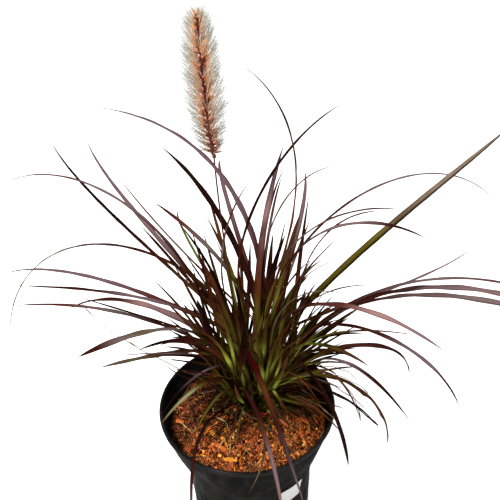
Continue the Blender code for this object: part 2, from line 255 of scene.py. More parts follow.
def shells(rings: Array, tint: Array, lie: Array) -> Shape:
    """Closed skins over rings of points, one skin for each item.

    Quads join each ring to the next, and a pole in the middle of the first and of the last ring
    closes the ends, so a skin has no hole.

    Args:
        rings: places by item, ring and place round the ring. They go counter-clockwise about the
            way in which the item runs.
        tint: colours that broadcast to rings.
        lie: values that broadcast to rings.

    Returns:
        The skins as one shape.
    """
    items, rows, places, _ = rings.shape

    def with_poles(values: Array) -> Array:
        """Each item's values in one row, then the means of its first and last ring."""
        full = np.broadcast_to(values, rings.shape)
        flat = full.reshape(items, rows * places, 3)
        return np.concatenate([flat, full[:, :1].mean(2), full[:, -1:].mean(2)], 1).reshape(-1, 3)

    row, place = np.meshgrid(np.arange(rows - 1), np.arange(places), indexing="ij")
    here = (row * places + place).ravel()
    beside = (row * places + (place + 1) % places).ravel()
    quads = np.stack([here, beside, beside + places, here + places], 1)
    around = np.arange(places)
    following = (around + 1) % places
    last = (rows - 1) * places
    foot = np.stack([np.full(places, rows * places), following, around], 1)
    head = np.stack([np.full(places, rows * places + 1), last + around, last + following], 1)
    offsets = ((rows * places + 2) * np.arange(items))[:, None, None]
    return Shape(
        with_poles(rings),
        (quads + offsets).reshape(-1, 4),
        (np.concatenate([foot, head]) + offsets).reshape(-1, 3),
        with_poles(tint),
        with_poles(lie),
    )


def laid(rings: Array, across: Array | float, along: Array | float, number: Array | float) -> Array:
    """How far across and how far along each point of the rings is, and its small piece's number."""
    return np.stack(np.broadcast_arrays(rings[..., 0], across, along, number)[1:], -1)


def tubes(routes: Array, radii: Array, tint: Array, sides: int, number: Array | float = 0.0) -> Shape:
    """Round skins carried along routes.

    Each ring is the route's point plus the radius times cosine and sine of equal turns along two
    directions square to the route.

    Args:
        routes: places by item and step.
        radii: radius by item and step.
        tint: colours by item and step.
        sides: places round a ring.
        number: a number for each item, for the finish to tell them apart.

    Returns:
        The skins as one shape.
    """
    forward = unit(np.gradient(routes, axis=1))
    run = unit(routes[:, -1] - routes[:, 0])
    reference = np.eye(3)[np.abs(run).argmin(1)]
    across = unit(np.cross(forward, reference[:, None]))
    other = np.cross(forward, across)
    turns = 2 * np.pi * np.arange(sides) / sides
    spokes = fanned(turns, across[:, :, None], other[:, :, None])
    rings = routes[:, :, None] + radii[:, :, None, None] * spokes
    along = np.linspace(0, 1, routes.shape[1])[:, None]
    numbers = np.reshape(np.broadcast_to(number, len(routes)), (-1, 1, 1))
    return shells(rings, tint[:, :, None], laid(rings, np.cos(turns), along, numbers))


def carried(spine: Array, sideways: Array, face: Array, roll: Array, level: Array, raised: Array) -> Array:
    """The rings of a flat section carried along a spine and rolled about it.

    Args:
        spine: places along it.
        sideways, face: unit directions across the piece and square to its upper face.
        roll: how far both are turned about the spine, in radians.
        level, raised: the section's places, measured along those two directions.

    Returns:
        The rings: places along the spine, each with its places round the section.
    """
    rolled = fanned(roll, sideways, face)[..., None, :]
    square = fanned(roll, face, -sideways)[..., None, :]
    return spine[..., None, :] + level[..., None] * rolled + raised[..., None] * square


@dataclass(frozen=True)
class BladeSection:
    """The section across a blade: a shallow V with a rounded fold, a keel below and thin edges.

    Attributes:
        fold: how far each half is raised from flat, in degrees.
        thickness: between the edges and the keel.
        keel: extra depth of the midrib below.
        columns: places across each face.
        rounding: size of the rounded fold, as a share of the half width.
    """

    fold: float = 15.0
    thickness: float = 0.00036
    keel: float = 0.0003
    columns: int = 9
    rounding: float = 0.12

    def places(self) -> tuple[Array, Array]:
        """Places round the section, across the lower face and back over the upper.

        Returns:
            How far across each place is, from -1 to 1, and whether it is above, 1 or 0.
        """
        across = np.linspace(-1, 1, self.columns)
        above = np.concatenate([np.zeros(self.columns), np.ones(self.columns)])
        return np.concatenate([across, across[::-1]]), above

    def offsets(self, half_widths: Array) -> tuple[Array, Array]:
        """The section's places measured from the spine.

        Sideways they are the share across times the half width times the cosine of the fold.
        Along the face they are that share's size, rounded off at the fold, times the half width
        times the sine of the fold, less the thickness and the keel's bell curve on the underside.

        Args:
            half_widths: half the blade's width, of any shape.

        Returns:
            Distances sideways and along the face, with one more axis than half_widths.
        """
        across, above = self.places()
        lifted = np.sqrt(across**2 + self.rounding**2) - self.rounding
        half = half_widths[..., None]
        slim = np.clip(half / 0.0015, 0.3, 1.0)
        depth = self.thickness * (1 - 0.45 * across**2) + self.keel * np.exp(-((across / 0.16) ** 2))
        level = half * across * np.cos(np.radians(self.fold))
        raised = half * lifted * np.sin(np.radians(self.fold)) - (1 - above) * depth * slim
        return level, raised


@dataclass(frozen=True)
class ShootStem:
    """One upright stem of rolled sheaths. Angles are in degrees."""

    azimuth: float
    lean: float
    length: float
    foot_radius: float

    def axis(self) -> tuple[Array, Array]:
        """The foot, and the unit direction in which the shoot rises."""
        azimuth = np.radians(self.azimuth)
        lean = np.radians(self.lean)
        outward = np.array([np.cos(azimuth), np.sin(azimuth), 0.0])
        foot = np.array([*CROWN, SOIL_TOP + TOUCH_GAP]) + outward * self.foot_radius
        return foot, outward * np.sin(lean) + np.array([0.0, 0.0, np.cos(lean)])

    def radius(self, height: Array | float) -> Array | float:
        """The radius at a share of the length: a straight taper from foot to top."""
        return SHOOT_FOOT_RADIUS + (SHOOT_TOP_RADIUS - SHOOT_FOOT_RADIUS) * height


INNER_SHOOTS = tuple(ShootStem(45 + 90 * i, 7, 0.095, 0.0065) for i in range(4))
OUTER_SHOOTS = tuple(ShootStem(22.5 + 45 * i, 23, 0.076, 0.016) for i in range(8))
SHOOTS = INNER_SHOOTS + OUTER_SHOOTS


@dataclass(frozen=True)
class Blade:
    """One leaf: a sheath that hugs its shoot and opens into a blade. Angles are in degrees.

    The blade sets off in the direction heading, counted from +X, and turns by turn on its way.
    Its slope above level goes from rise at the foot to fall at the tip, as the bend-th power of
    the share of its length.

    Attributes:
        shoot: number of the shoot that carries it, from 1.
        height: share of the shoot's length at which it leaves.
        heading, rise, fall, bend, length, turn, width: its sizes, as said above.
        look: its colours from foot to tip.
        stops: other colours than the look's, where this blade has its own.
        taper: power that says how late it narrows: high is blunt.
        full_width_at: share of the length where it is widest.
        twist: how far the tip is rolled about the blade.
        ripple: wave of the edges, as a share of the half width.
        painted_half_shade: painted shade on the right half, seen from the foot: how much darker it is than
            the left, as if that side of the fold faced away from the light.
    """

    shoot: int
    height: float
    heading: float
    rise: float
    fall: float
    bend: float
    length: float
    turn: float
    width: float
    look: Look
    stops: str = ""
    taper: float = 4.0
    full_width_at: float = 0.2
    twist: float = 14.0
    ripple: float = 0.1
    painted_half_shade: float = 0.0

    # Sizes that all blades share.
    solid_thickness: ClassVar[float] = 0.0006
    foot_share: ClassVar[float] = 0.5
    tip_width: ClassVar[float] = 0.0004
    wave_length: ClassVar[float] = 0.035
    vein_length: ClassVar[float] = 0.2
    sheath_share: ClassVar[float] = 0.05
    sheath_length: ClassVar[float] = 0.026
    sheath_foot: ClassVar[float] = 0.002
    sheath_gap: ClassVar[float] = 0.0002
    sheath_layer: ClassVar[float] = 0.00022
    sheath_wall: ClassVar[float] = 0.0003
    wrap_angle: ClassVar[float] = 150.0
    open_angle: ClassVar[float] = 95.0

    def half_width(self, along: Array) -> Array:
        """Half the width: half of full at the foot, then full, then drawn in to a point."""
        swell = self.foot_share + (1 - self.foot_share) * np.clip(along / self.full_width_at, 0, 1)
        return np.maximum(self.width * swell * (1 - along**self.taper) ** 0.75, self.tip_width) / 2

    def directions(self, along: Array) -> tuple[Array, Array, Array]:
        """Unit vectors along the blade, sideways across it and square to its upper face."""
        slope = np.radians(self.rise + (self.fall - self.rise) * along**self.bend)
        heading = np.radians(self.heading + self.turn * along)
        forward = np.cos(slope)[:, None] * level_directions(heading)
        forward[:, 2] = np.sin(slope)
        sideways = level_directions(heading + np.pi / 2)
        return forward, sideways, np.cross(forward, sideways)

    def foot(self) -> tuple[Array, Array, Array]:
        """Where the blade leaves its shoot.

        Returns:
            The blade's first point, the shoot's axis there, and the level way out of the shoot.
        """
        shoot = SHOOTS[self.shoot - 1]
        start, axis = shoot.axis()
        forward, sideways, _ = self.directions(np.zeros(1))
        out = unit(forward[0] - axis * (forward[0] @ axis))
        half = self.half_width(np.zeros(1))[0]
        reach = half * (abs(sideways[0] @ out) + np.sin(np.radians(SECTION.fold)))
        centre = start + axis * shoot.length * self.height
        clear = shoot.radius(self.height) + TOUCH_GAP + self.solid_thickness / 2 + reach
        return centre + out * clear, axis, out

    def spine(self, rows: int) -> Array:
        """Points along the blade's middle, from foot to tip."""
        along = np.linspace(0, 1, rows)
        steps = self.directions(0.5 * (along[1:] + along[:-1]))[0] * self.length / (rows - 1)
        return self.foot()[0] + np.vstack([np.zeros(3), np.cumsum(steps, axis=0)])

    def blade_rings(self, rows: int, seed: int, section: BladeSection) -> tuple[Array, Array]:
        """The rings of the open blade.

        Args:
            rows: rings from foot to tip.
            seed: number that settles the ripple's phase.
            section: the section across it.

        Returns:
            The rings, and the share of the length at each.
        """
        along = np.linspace(0, 1, rows)
        _, sideways, face = self.directions(along)
        roll = np.radians(self.twist * (1 if seed % 2 else -1)) * along**2
        half = self.half_width(along)
        level, raised = section.offsets(half)
        across, _ = section.places()
        phase = 2 * np.pi * self.length / self.wave_length * along[:, None] + across * 1.3 + seed * 2.4
        wave = self.ripple * half[:, None] * np.abs(across) * np.sin(phase)
        raised = raised + wave * ease(along / 0.3)[:, None]
        return carried(self.spine(rows), sideways, face, roll, level, raised), along

    def sheath_rings(self, rows: int, wraps: int, section: BladeSection) -> Array:
        """The rings of the sheath below the blade's foot.

        Each ring is a part-tube round the shoot that opens as it rises, mixed by a smooth step
        with the blade's own first ring, which it becomes at the top.

        Args:
            rows: rings from the sheath's foot to just below the blade.
            wraps: how many sheaths lie under this one.
            section: the section across the blade.

        Returns:
            The rings, lowest first.
        """
        shoot = SHOOTS[self.shoot - 1]
        start, axis = shoot.axis()
        _, _, out = self.foot()
        _, sideways, face = self.directions(np.zeros(1))
        beside = np.cross(axis, out)
        beside *= 1.0 if beside @ sideways[0] >= 0 else -1.0
        across, above = section.places()
        inner = above if face[0] @ out < 0 else 1 - above
        share = np.arange(rows) / rows
        reach = min(self.sheath_length, shoot.length * self.height - self.sheath_foot)
        height = self.height - reach / shoot.length * (1 - share)
        angle = across * np.radians(self.wrap_angle - self.open_angle * share)[:, None]
        wall = shoot.radius(height)[:, None] + self.sheath_gap + wraps * self.sheath_layer
        wall = wall + self.sheath_wall * (1 - inner)
        middle = start + axis * (shoot.length * height)[:, None]
        tube = middle[:, None] + wall[..., None] * fanned(angle, out, beside)
        first = self.blade_rings(2, 0, section)[0][0]
        opened = ease(share)[:, None, None] ** 2
        return tube * (1 - opened) + first * opened

    def shape(self, seed: int, rows: int, sheath_rows: int, section: BladeSection) -> Shape:
        """The whole leaf as a closed skin.

        Args:
            seed: the leaf's own number.
            rows: rings of the open blade.
            sheath_rows: rings of the sheath.
            section: the section across it.

        Returns:
            The leaf, coloured along its length.
        """
        rings, along = self.blade_rings(rows, seed, section)
        rings = np.concatenate([self.sheath_rings(sheath_rows, seed % 5, section), rings])
        below = -np.arange(sheath_rows, 0, -1) / sheath_rows * self.sheath_share
        along = np.concatenate([below, along])
        across, _ = section.places()
        lie = laid(rings, across, along[:, None] * self.length / self.vein_length, seed * 0.37)
        tint = colour_along(self.stops or self.look.stops, along)[:, None]
        vigour = 0.82 + 0.36 * ((seed * 0.618) % 1.0)
        # Painted shade: the right half of the fold is darkened as if it faced away from the light.
        painted_shade = 1 - self.painted_half_shade * ease(0.5 - 2.5 * across)[:, None]
        return shells(rings[None], tint[None] * painted_shade * vigour, lie[None])


SECTION = BladeSection()
FINE_SECTION = BladeSection(columns=5, rounding=0.2)

LEAVES = (
    Blade(1, 0.85, 30, 134, 4, 0.8, 0.26, 13, 0.0032, BLACK),
    Blade(1, 0.55, 64, 100, 22, 1.3, 0.21, 7, 0.0068, RUSSET),
    Blade(1, 0.7, 140, 91, 9, 1.1, 0.22, -12, 0.007, BLACK, taper=5),
    Blade(1, 0.8, 155, 85, 20, 0.7, 0.16, -9, 0.005, DUSKY, taper=6),
    Blade(2, 0.75, 28, 104, 40, 2.0, 0.165, 5, 0.003, DUSKY),
    Blade(2, 0.85, 124, 44, -21, 0.6, 0.235, -30, 0.0028, GREEN,
          stops="0 SOOT, 0.2 MAROON, 0.3 OLIVE, 0.45 MEADOW, 0.62 OLIVE, 1 MAROON"),
    Blade(2, 0.8, 148, 40, 0, 0.6, 0.36, -34, 0.0042, BLACK, taper=3.5),
    Blade(2, 0.7, 159, 54, 49, 1.2, 0.14, 0, 0.0048, MAROON),
    Blade(2, 0.7, 211, 66, 19, 0.6, 0.215, -10, 0.0075, DUSKY,
          stops="0 OLIVE, 0.2 UMBER, 0.35 WINE, 0.5 MAUVE, 0.62 MAUVE, 0.73 MAROON, 1 MAROON"),
    Blade(3, 0.6, 198, 109, 37, 3.2, 0.28, -26, 0.007, BROWN, taper=2.2,
          stops="0 OLIVE, 0.22 OLIVE, 0.34 MAHOGANY, 0.7 MAHOGANY, 1 SOOT"),
    Blade(3, 0.45, 228, 67, -42, 1.1, 0.115, -3, 0.0032, MAROON,
          stops="0 OLIVE, 0.3 SOOT, 0.42 DUSK, 0.55 ASH, 0.68 DUSK, 0.8 SOOT, 1 SOOT"),
    Blade(3, 0.5, 229, 69, 12, 1.2, 0.15, -5, 0.005, MAROON, taper=5),
    Blade(3, 0.82, 280, 49, 7, 0.4, 0.225, -1, 0.0056, RED, taper=2,
          stops="0 UMBER, 0.12 MAGENTA, 0.36 MAGENTA, 0.5 MAHOGANY, 0.7 MAROON, 0.85 DUSK, 1 ASH"),
    Blade(4, 0.75, 306, 80, -25, 1.1, 0.21, 20, 0.008, RED, taper=5),
    Blade(4, 0.85, 327, 84, -19, 1.8, 0.22, 3, 0.0045, MAROON, taper=8,
          stops="0 OLIVE, 0.2 MAHOGANY, 0.5 MAROON, 0.62 ASH, 0.78 MAUVE, 0.88 MAROON, 1 SOOT"),
    Blade(5, 0.5, 301, 62, 15, 1.2, 0.18, 21, 0.0038, GREEN, taper=5),
    Blade(5, 0.75, 312, 59, -22, 1.3, 0.375, 2, 0.0065, DUSKY),
    Blade(5, 0.85, 327, 55, -42, 1.5, 0.335, -5, 0.0085, MAROON,
          stops="0 UMBER, 0.25 MAROON, 0.38 MAROON, 0.5 MAUVE, 0.75 ROSE, 1 MAUVE"),
    Blade(5, 0.4, 356, 36, -84, 1.5, 0.16, 22, 0.0062, RED, taper=9,
          stops="0 OLIVE, 0.25 MAHOGANY, 0.45 WINE, 0.7 MAROON, 0.85 MAROON, 1 MAGENTA"),
    # This blade's right half carries painted shade.
    Blade(6, 0.5, 12, 67, -1, 0.6, 0.38, 39, 0.0092, TAN, taper=3.5, twist=4, ripple=0.03,
          painted_half_shade=0.72, stops="0 MOSS, 0.18 OLIVE, 0.4 OLIVE, 0.5 TAN, 0.62 FAWN, 0.8 FAWN, 1 ASH"),
    Blade(6, 0.95, 28, 85, -54, 0.8, 0.375, -6, 0.003, DUSKY, taper=6),
    Blade(6, 0.95, 67, 23, -9, 1.0, 0.275, 20, 0.0062, MAUVE, taper=3),
    Blade(6, 0.85, 113, 61, -21, 0.8, 0.28, -24, 0.0052, MAUVE),
    Blade(6, 0.65, 228, 95, 23, 1.1, 0.35, 13, 0.0072, MAUVE, twist=4),
    Blade(7, 0.9, 143, 47, 0, 0.6, 0.33, -34, 0.0065, BROWN, taper=1.8,
          stops="0 UMBER, 0.2 MAROON, 0.32 MAUVE, 0.8 MAUVE, 1 UMBER"),
    Blade(7, 0.9, 153, 78, -75, 0.6, 0.42, 6, 0.004, DUSKY, taper=6),
    Blade(7, 0.45, 161, 36, -39, 1.7, 0.2, 6, 0.0095, MAUVE, taper=3,
          stops="0 LIME, 0.08 OLIVE, 0.2 MAHOGANY, 0.3 MAUVE, 0.55 ROSE, 0.66 MAROON, 1 MAROON"),
    Blade(7, 0.75, 163, 24, -30, 1.3, 0.305, -14, 0.0062, MAUVE, taper=2.2),
    Blade(8, 0.75, 158, 83, -33, 1.4, 0.305, 3, 0.0042, DUSKY),
    Blade(8, 0.85, 201, 45, 9, 1.6, 0.185, -4, 0.0062, DUSKY, taper=2.2),
    Blade(8, 0.7, 240, 54, 17, 0.6, 0.145, -24, 0.008, BROWN, taper=6,
          stops="0 SOOT, 0.3 UMBER, 0.6 UMBER, 0.78 TAN, 1 TAN"),
    Blade(8, 0.75, 251, 60, 14, 1.1, 0.21, -17, 0.0062, RUSSET, taper=14,
          stops="0 OLIVE, 0.35 MAROON, 0.5 ASH, 0.72 TAN, 0.82 ASH, 0.92 MAROON, 1 MAROON"),
    Blade(10, 0.8, 170, 78, -39, 1.1, 0.09, -7, 0.0055, MAROON, taper=6),
    Blade(10, 1.0, 231, 55, -36, 0.9, 0.085, -10, 0.0038, GREEN, taper=4,
          stops="0 SOOT, 0.38 MAROON, 0.5 OLIVE, 0.6 SAGE, 0.72 SAGE, 1 OLIVE"),
    Blade(10, 0.4, 239, 34, -89, 3.2, 0.195, 41, 0.003, BROWN,
          stops="0 SOOT, 0.3 SOOT, 0.75 MAROON, 1 ASH"),
    Blade(10, 0.8, 285, 39, -88, 1.4, 0.155, -1, 0.0038, MAUVE,
          stops="0 OLIVE, 0.1 MAROON, 0.42 MAROON, 0.52 UMBER, 0.64 MAUVE, 1 ROSE"),
    Blade(11, 0.85, 293, 63, -68, 1.9, 0.175, -7, 0.0028, BLACK, taper=20, full_width_at=0.9),
    Blade(11, 0.5, 312, 40, -27, 1.4, 0.085, 1, 0.004, BROWN),
    Blade(11, 0.9, 355, 68, -38, 1.2, 0.285, -9, 0.0037, DUSKY, taper=3),
    Blade(11, 0.6, 357, 61, -88, 0.7, 0.155, -17, 0.004, BROWN, taper=9),
    Blade(12, 0.55, 294, 56, 0, 1.8, 0.225, -7, 0.0036, RUSSET, taper=5,
          stops="0 OLIVE, 0.3 MAROON, 0.5 DUSK, 0.64 MAUVE, 0.78 MAROON, 1 SOOT"),
    Blade(12, 0.7, 314, 91, -68, 1.0, 0.22, 22, 0.0054, MAROON, taper=9, full_width_at=0.85,
          stops="0 OLIVE, 0.25 MAROON, 0.5 MAROON, 0.62 WINE, 0.7 MAUVE, 0.8 MAUVE, 0.87 MAROON, 1 SOOT"),
)

THIN_LEAVES = (
    Blade(1, 0.85, 142, 25, 37, 1.6, 0.205, -5, 0.0024, DUSKY, taper=5),
    Blade(7, 0.85, 132, 39, 28, 1.4, 0.095, -5, 0.0024, MAROON, taper=5),
    Blade(8, 1.0, 188, 30, 29, 1.4, 0.12, -2, 0.0027, BLACK, taper=5),
    Blade(3, 0.65, 216, 39, 21, 1.2, 0.135, -5, 0.0022, DUSKY, taper=5),
    Blade(9, 0.6, 226, 34, 68, 1.3, 0.09, -3, 0.0027, MAROON, taper=5),
    Blade(10, 1.0, 210, 40, 31, 1.4, 0.06, -3, 0.0027, MAROON, taper=5),
    Blade(3, 0.45, 211, 41, 34, 1.4, 0.09, -3, 0.0024, MAROON, taper=5),
    Blade(10, 0.65, 249, 57, -20, 1.3, 0.1, -3, 0.0028, GREEN, taper=5,
          stops="0 SOOT, 0.4 UMBER, 0.6 OLIVE, 1 OLIVE"),
    Blade(10, 0.25, 136, 109, 45, 0.4, 0.093, 2, 0.008, BROWN, taper=3, full_width_at=0.5,
          stops="0 LIME, 0.22 OLIVE, 0.6 UMBER, 1 MAHOGANY"),
    Blade(10, 0.5, 310, 13, -20, 0.4, 0.097, -80, 0.0022, BROWN, taper=5,
          stops="0 SOOT, 0.6 UMBER, 0.85 TAN, 1 UMBER"),
    Blade(1, 0.75, 70, 100, 6, 1.5, 0.175, -1, 0.003, DUSKY, taper=5),
    Blade(1, 0.7, 72, 83, 3, 1.3, 0.17, 4, 0.003, DUSKY, taper=5),
    Blade(1, 1.0, 26, 90, -15, 2.4, 0.175, -5, 0.0027, DUSKY, taper=5),
    Blade(6, 0.65, 59, 50, 18, 1.4, 0.135, 6, 0.003, DUSKY, taper=5),
    Blade(4, 0.8, 339, 89, 0, 1.6, 0.21, 0, 0.0034, DUSKY, taper=12),
    Blade(5, 0.75, 339, 83, 12, 2.9, 0.185, -1, 0.0032, DUSKY, taper=9),
    Blade(6, 0.7, 18, 15, 49, 3.0, 0.215, -28, 0.005, MAUVE, taper=5),
    Blade(11, 0.45, 320, 50, -37, 1.7, 0.125, -2, 0.0024, BLACK, taper=5),
    Blade(12, 0.45, 304, 51, -22, 3.0, 0.165, -25, 0.0024, BROWN, taper=5),
    Blade(5, 0.5, 45, 97, -10, 1.5, 0.125, 0, 0.0035, GREEN, taper=5),
    Blade(5, 0.75, 16, 97, -16, 1.8, 0.12, -1, 0.0019, BROWN, taper=5),
    Blade(11, 0.85, 332, 83, 13, 1.6, 0.16, -1, 0.0024, MAROON, taper=5),
    Blade(11, 0.9, 312, 95, 8, 1.4, 0.16, 5, 0.0027, TAN, taper=5),
    Blade(5, 0.63, 3, 41, 36, 1.3, 0.085, 0, 0.006, GREEN, taper=3),
    Blade(5, 0.43, 346, 62, -33, 1.3, 0.082, -3, 0.005, BROWN),
    Blade(5, 0.19, 13, 48, -28, 1.3, 0.077, 0, 0.0045, BLACK),
    Blade(11, 0.69, 314, 51, 34, 1.3, 0.113, 2, 0.0055, GREEN),
    Blade(12, 0.4, 333, 53, -27, 1.5, 0.083, -2, 0.0035, GREEN),
    Blade(11, 0.65, 298, 58, 12, 1.4, 0.102, 1, 0.004, GREEN),
    Blade(11, 0.61, 289, 57, 70, 1.3, 0.092, -3, 0.006, GREEN, taper=3),
    Blade(11, 0.46, 286, 76, 56, 1.3, 0.114, 1, 0.004, GREEN),
    Blade(11, 0.95, 281, 57, 60, 1.3, 0.1, -12, 0.0025, GREEN),
    Blade(4, 0.57, 277, 72, 57, 1.4, 0.097, -4, 0.0045, GREEN),
    Blade(11, 0.37, 263, 63, 61, 1.4, 0.1, 8, 0.0045, GREEN),
    Blade(5, 0.39, 61, 65, 15, 1.4, 0.105, 0, 0.0055, GREEN),
    Blade(2, 0.15, 75, 53, 21, 1.3, 0.107, 11, 0.006, GREEN),
    Blade(4, 0.26, 258, 62, 70, 1.3, 0.12, 7, 0.005, GREEN),
    Blade(7, 0.25, 123, 47, 28, 1.3, 0.094, -3, 0.0075, GREEN, taper=3),
    Blade(7, 0.22, 151, 49, -35, 1.2, 0.091, 2, 0.005, MAROON),
    Blade(8, 0.64, 193, 37, 20, 1.2, 0.055, 0, 0.0045, MAROON),
    Blade(8, 0.55, 193, 43, 3, 1.1, 0.06, 0, 0.005, BLACK),
    Blade(8, 0.46, 197, 36, 22, 1.3, 0.055, 0, 0.004, BROWN),
    Blade(8, 0.38, 222, 32, 50, 1.5, 0.073, 3, 0.0035, DUSKY),
    Blade(2, 0.5, 135, 75, -4, 1.4, 0.085, 1, 0.006, MAROON),
    Blade(10, 0.34, 258, 50, 70, 1.3, 0.072, 6, 0.0045, GREEN),
    Blade(5, 0.74, 313, 49, -9, 1.1, 0.096, 1, 0.005, GREEN),
    Blade(12, 0.55, 301, 49, -64, 1.4, 0.111, -8, 0.003, BLACK),
    Blade(11, 0.79, 291, 66, -8, 1.4, 0.118, 0, 0.002, BROWN),
    Blade(11, 0.88, 292, 69, -19, 1.5, 0.131, -2, 0.0018, BLACK),
)


@dataclass(frozen=True)
class Stalk:
    """A dead stalk: it leaves the clump as a blade would, but is round and thick at its joints.

    Attributes:
        path: the blade whose middle it follows.
        joints: shares of the length where it swells.
        radius: at its foot.
    """

    path: Blade
    joints: tuple[float, ...]
    radius: float


STALKS = (
    Stalk(Blade(11, 0.6, 357, 61, -88, 0.7, 0.155, -17, 0.001, BROWN), (0.59, 0.78), 0.0011),
    Stalk(Blade(9, 0.22, 149, 7, 61, 3.5, 0.187, 6, 0.001, TAN), (0.62, 0.93), 0.0006),
    Stalk(Blade(11, 0.58, 311, 53, -20, 1.4, 0.131, 1, 0.001, BLACK), (0.97,), 0.0008),
    Stalk(Blade(12, 0.79, 311, 57, -87, 1.3, 0.104, -2, 0.001, BROWN), (0.93,), 0.0005),
    Stalk(Blade(11, 0.79, 303, 59, -4, 1.2, 0.126, 3, 0.001, DUSKY), (), 0.0005),
    Stalk(Blade(12, 0.46, 333, 52, -38, 1.4, 0.089, -1, 0.001, BLACK), (0.97,), 0.0004),
    Stalk(Blade(12, 0.49, 346, 56, -50, 1.4, 0.074, 1, 0.001, BLACK), (), 0.0005),
    Stalk(Blade(11, 0.33, 323, 48, -66, 1.5, 0.092, 0, 0.001, TAN), (0.72,), 0.0007),
)


@dataclass(frozen=True)
class Family:
    """A kind of short blade that fills the clump. Angles are in degrees; pairs are the ends of a spread.

    Attributes:
        name: what its piece is called.
        count: how many blades.
        shoots: numbers of the shoots that carry them.
        swing: how far headings stray from the shoot's azimuth.
        height, rise, fall, length, width: as in a blade.
        looks: how they are coloured, in turn at random.
        shares: how often each look comes.
    """

    name: str
    count: int
    shoots: tuple[int, ...]
    swing: float
    height: Pair
    rise: Pair
    fall: Pair
    length: Pair
    width: Pair
    looks: tuple[Look, ...]
    shares: tuple[float, ...]


FAMILIES = (
    Family("upright_left_blades", 38, (2, 3, 7, 8, 9), 40, (0.12, 0.98), (64, 88), (34, 76), (0.05, 0.135),
           (0.003, 0.006), (GREEN, MAROON, BROWN, BLACK), (0.22, 0.35, 0.34, 0.09)),
    Family("upright_right_blades", 42, (1, 4, 5, 6, 10, 11, 12), 40, (0.12, 0.98), (64, 88), (34, 76),
           (0.05, 0.135), (0.003, 0.006), (GREEN, MAROON, BROWN, BLACK), (0.54, 0.17, 0.26, 0.03)),
    Family("left_crown_blades", 36, (7, 8), 22, (0.15, 0.7), (30, 54), (8, 32), (0.035, 0.07),
           (0.002, 0.0044), (MAROON, BLACK, BROWN), (0.4, 0.38, 0.22)),
    Family("back_crown_blades", 34, (5, 6, 7), 30, (0.1, 0.8), (35, 66), (-5, 40), (0.05, 0.095),
           (0.0024, 0.0052), (MAROON, BLACK, GREEN), (0.4, 0.35, 0.25)),
    Family("right_crown_blades", 56, (5, 12, 11), 20, (0.15, 0.8), (26, 58), (2, 38), (0.036, 0.074),
           (0.0018, 0.0042), (GREEN, BROWN, MAROON, BLACK), (0.54, 0.18, 0.16, 0.12)),
    Family("front_crown_blades", 22, (9, 10, 11), 40, (0.08, 0.5), (50, 80), (20, 60), (0.022, 0.05),
           (0.0026, 0.005), (GREEN, BROWN, MAROON), (0.4, 0.35, 0.25)),
)


class Graph:
    """A node tree being drawn, with short calls for the nodes that the finishes use."""

    def __init__(self, tree: bpy.types.NodeTree) -> None:
        """Draws on the given tree."""
        self.tree = tree

    def wire(self, node: bpy.types.Node, wires: dict[Any, Any]) -> bpy.types.Node:
        """Fills a node's inputs.

        Args:
            node: the node.
            wires: input name or number, with a socket to link or a value to set.

        Returns:
            The same node.
        """
        for name, value in wires.items():
            if isinstance(value, Socket):
                self.tree.links.new(value, node.inputs[name])
            else:
                node.inputs[name].default_value = value
        return node

    def add(self, kind: str, wires: dict[Any, Any] | None = None, **settings: Any) -> bpy.types.Node:
        """Adds a node.

        Args:
            kind: its type's name.
            wires: what its inputs take.
            settings: the node's own properties.

        Returns:
            The node.
        """
        node = self.tree.nodes.new(kind)
        for name, value in settings.items():
            setattr(node, name, value)
        return self.wire(node, wires or {})

    def group(self, tree: bpy.types.NodeTree, **wires: Any) -> bpy.types.NodeOutputs:
        """Adds a shader group whose inputs take the wires, and gives its outputs."""
        return self.add("ShaderNodeGroup", wires, node_tree=tree).outputs

    def math(self, operation: str, first: Any, second: Any = 0.0) -> Socket:
        """One sum on two numbers."""
        return self.add("ShaderNodeMath", {0: first, 1: second}, operation=operation).outputs[0]

    def times(self, first: Any, second: Any) -> Socket:
        """The product of two numbers."""
        return self.math("MULTIPLY", first, second)

    def mix(self, share: Any, first: Any, second: Any, mode: str = "MIX") -> Socket:
        """One colour laid over another."""
        wires = {0: share, 6: first, 7: second}
        return self.add("ShaderNodeMix", wires, data_type="RGBA", blend_type=mode).outputs[2]

    def tinted(self, colour: Socket, red: float, green: float, blue: float) -> Socket:
        """A colour with each channel multiplied by a number."""
        return self.mix(1.0, colour, (red, green, blue, 1.0), "MULTIPLY")

    def span(self, value: Any, low: float, high: float, to_low: float = 0.0, to_high: float = 1.0) -> Socket:
        """A number moved from one range to another, and held in it."""
        wires = {0: value, 1: low, 2: high, 3: to_low, 4: to_high}
        return self.add("ShaderNodeMapRange", wires, clamp=True).outputs[0]

    def noise(self, place: Any, scale: Any, detail: float = 2.0, roughness: float = 0.5) -> Socket:
        """Soft noise between 0 and 1."""
        wires = {"Vector": place, "Scale": scale, "Detail": detail, "Roughness": roughness}
        return self.add("ShaderNodeTexNoise", wires).outputs[0]

    def scaled(self, place: Socket, by: Triple) -> Socket:
        """A place multiplied along each axis."""
        return self.add("ShaderNodeVectorMath", {0: place, 1: by}, operation="MULTIPLY").outputs[0]

    def part(self, place: Socket, axis: int) -> Socket:
        """One of the three numbers of a place."""
        return self.add("ShaderNodeSeparateXYZ", {0: place}).outputs[axis]

    def attribute(self, name: str, output: str) -> Socket:
        """What the mesh holds at each vertex under that name."""
        return self.add("ShaderNodeAttribute", attribute_name=name).outputs[output]

    def object_place(self) -> Socket:
        """The place on the piece, in metres."""
        return self.add("ShaderNodeTexCoord").outputs["Object"]

    def bump(self, height: Socket, strength: float, distance: float, **over: Socket) -> Socket:
        """A normal that follows a height, over another normal where one is given."""
        wires = {"Height": height, "Strength": strength, "Distance": distance, **over}
        return self.add("ShaderNodeBump", wires).outputs[0]


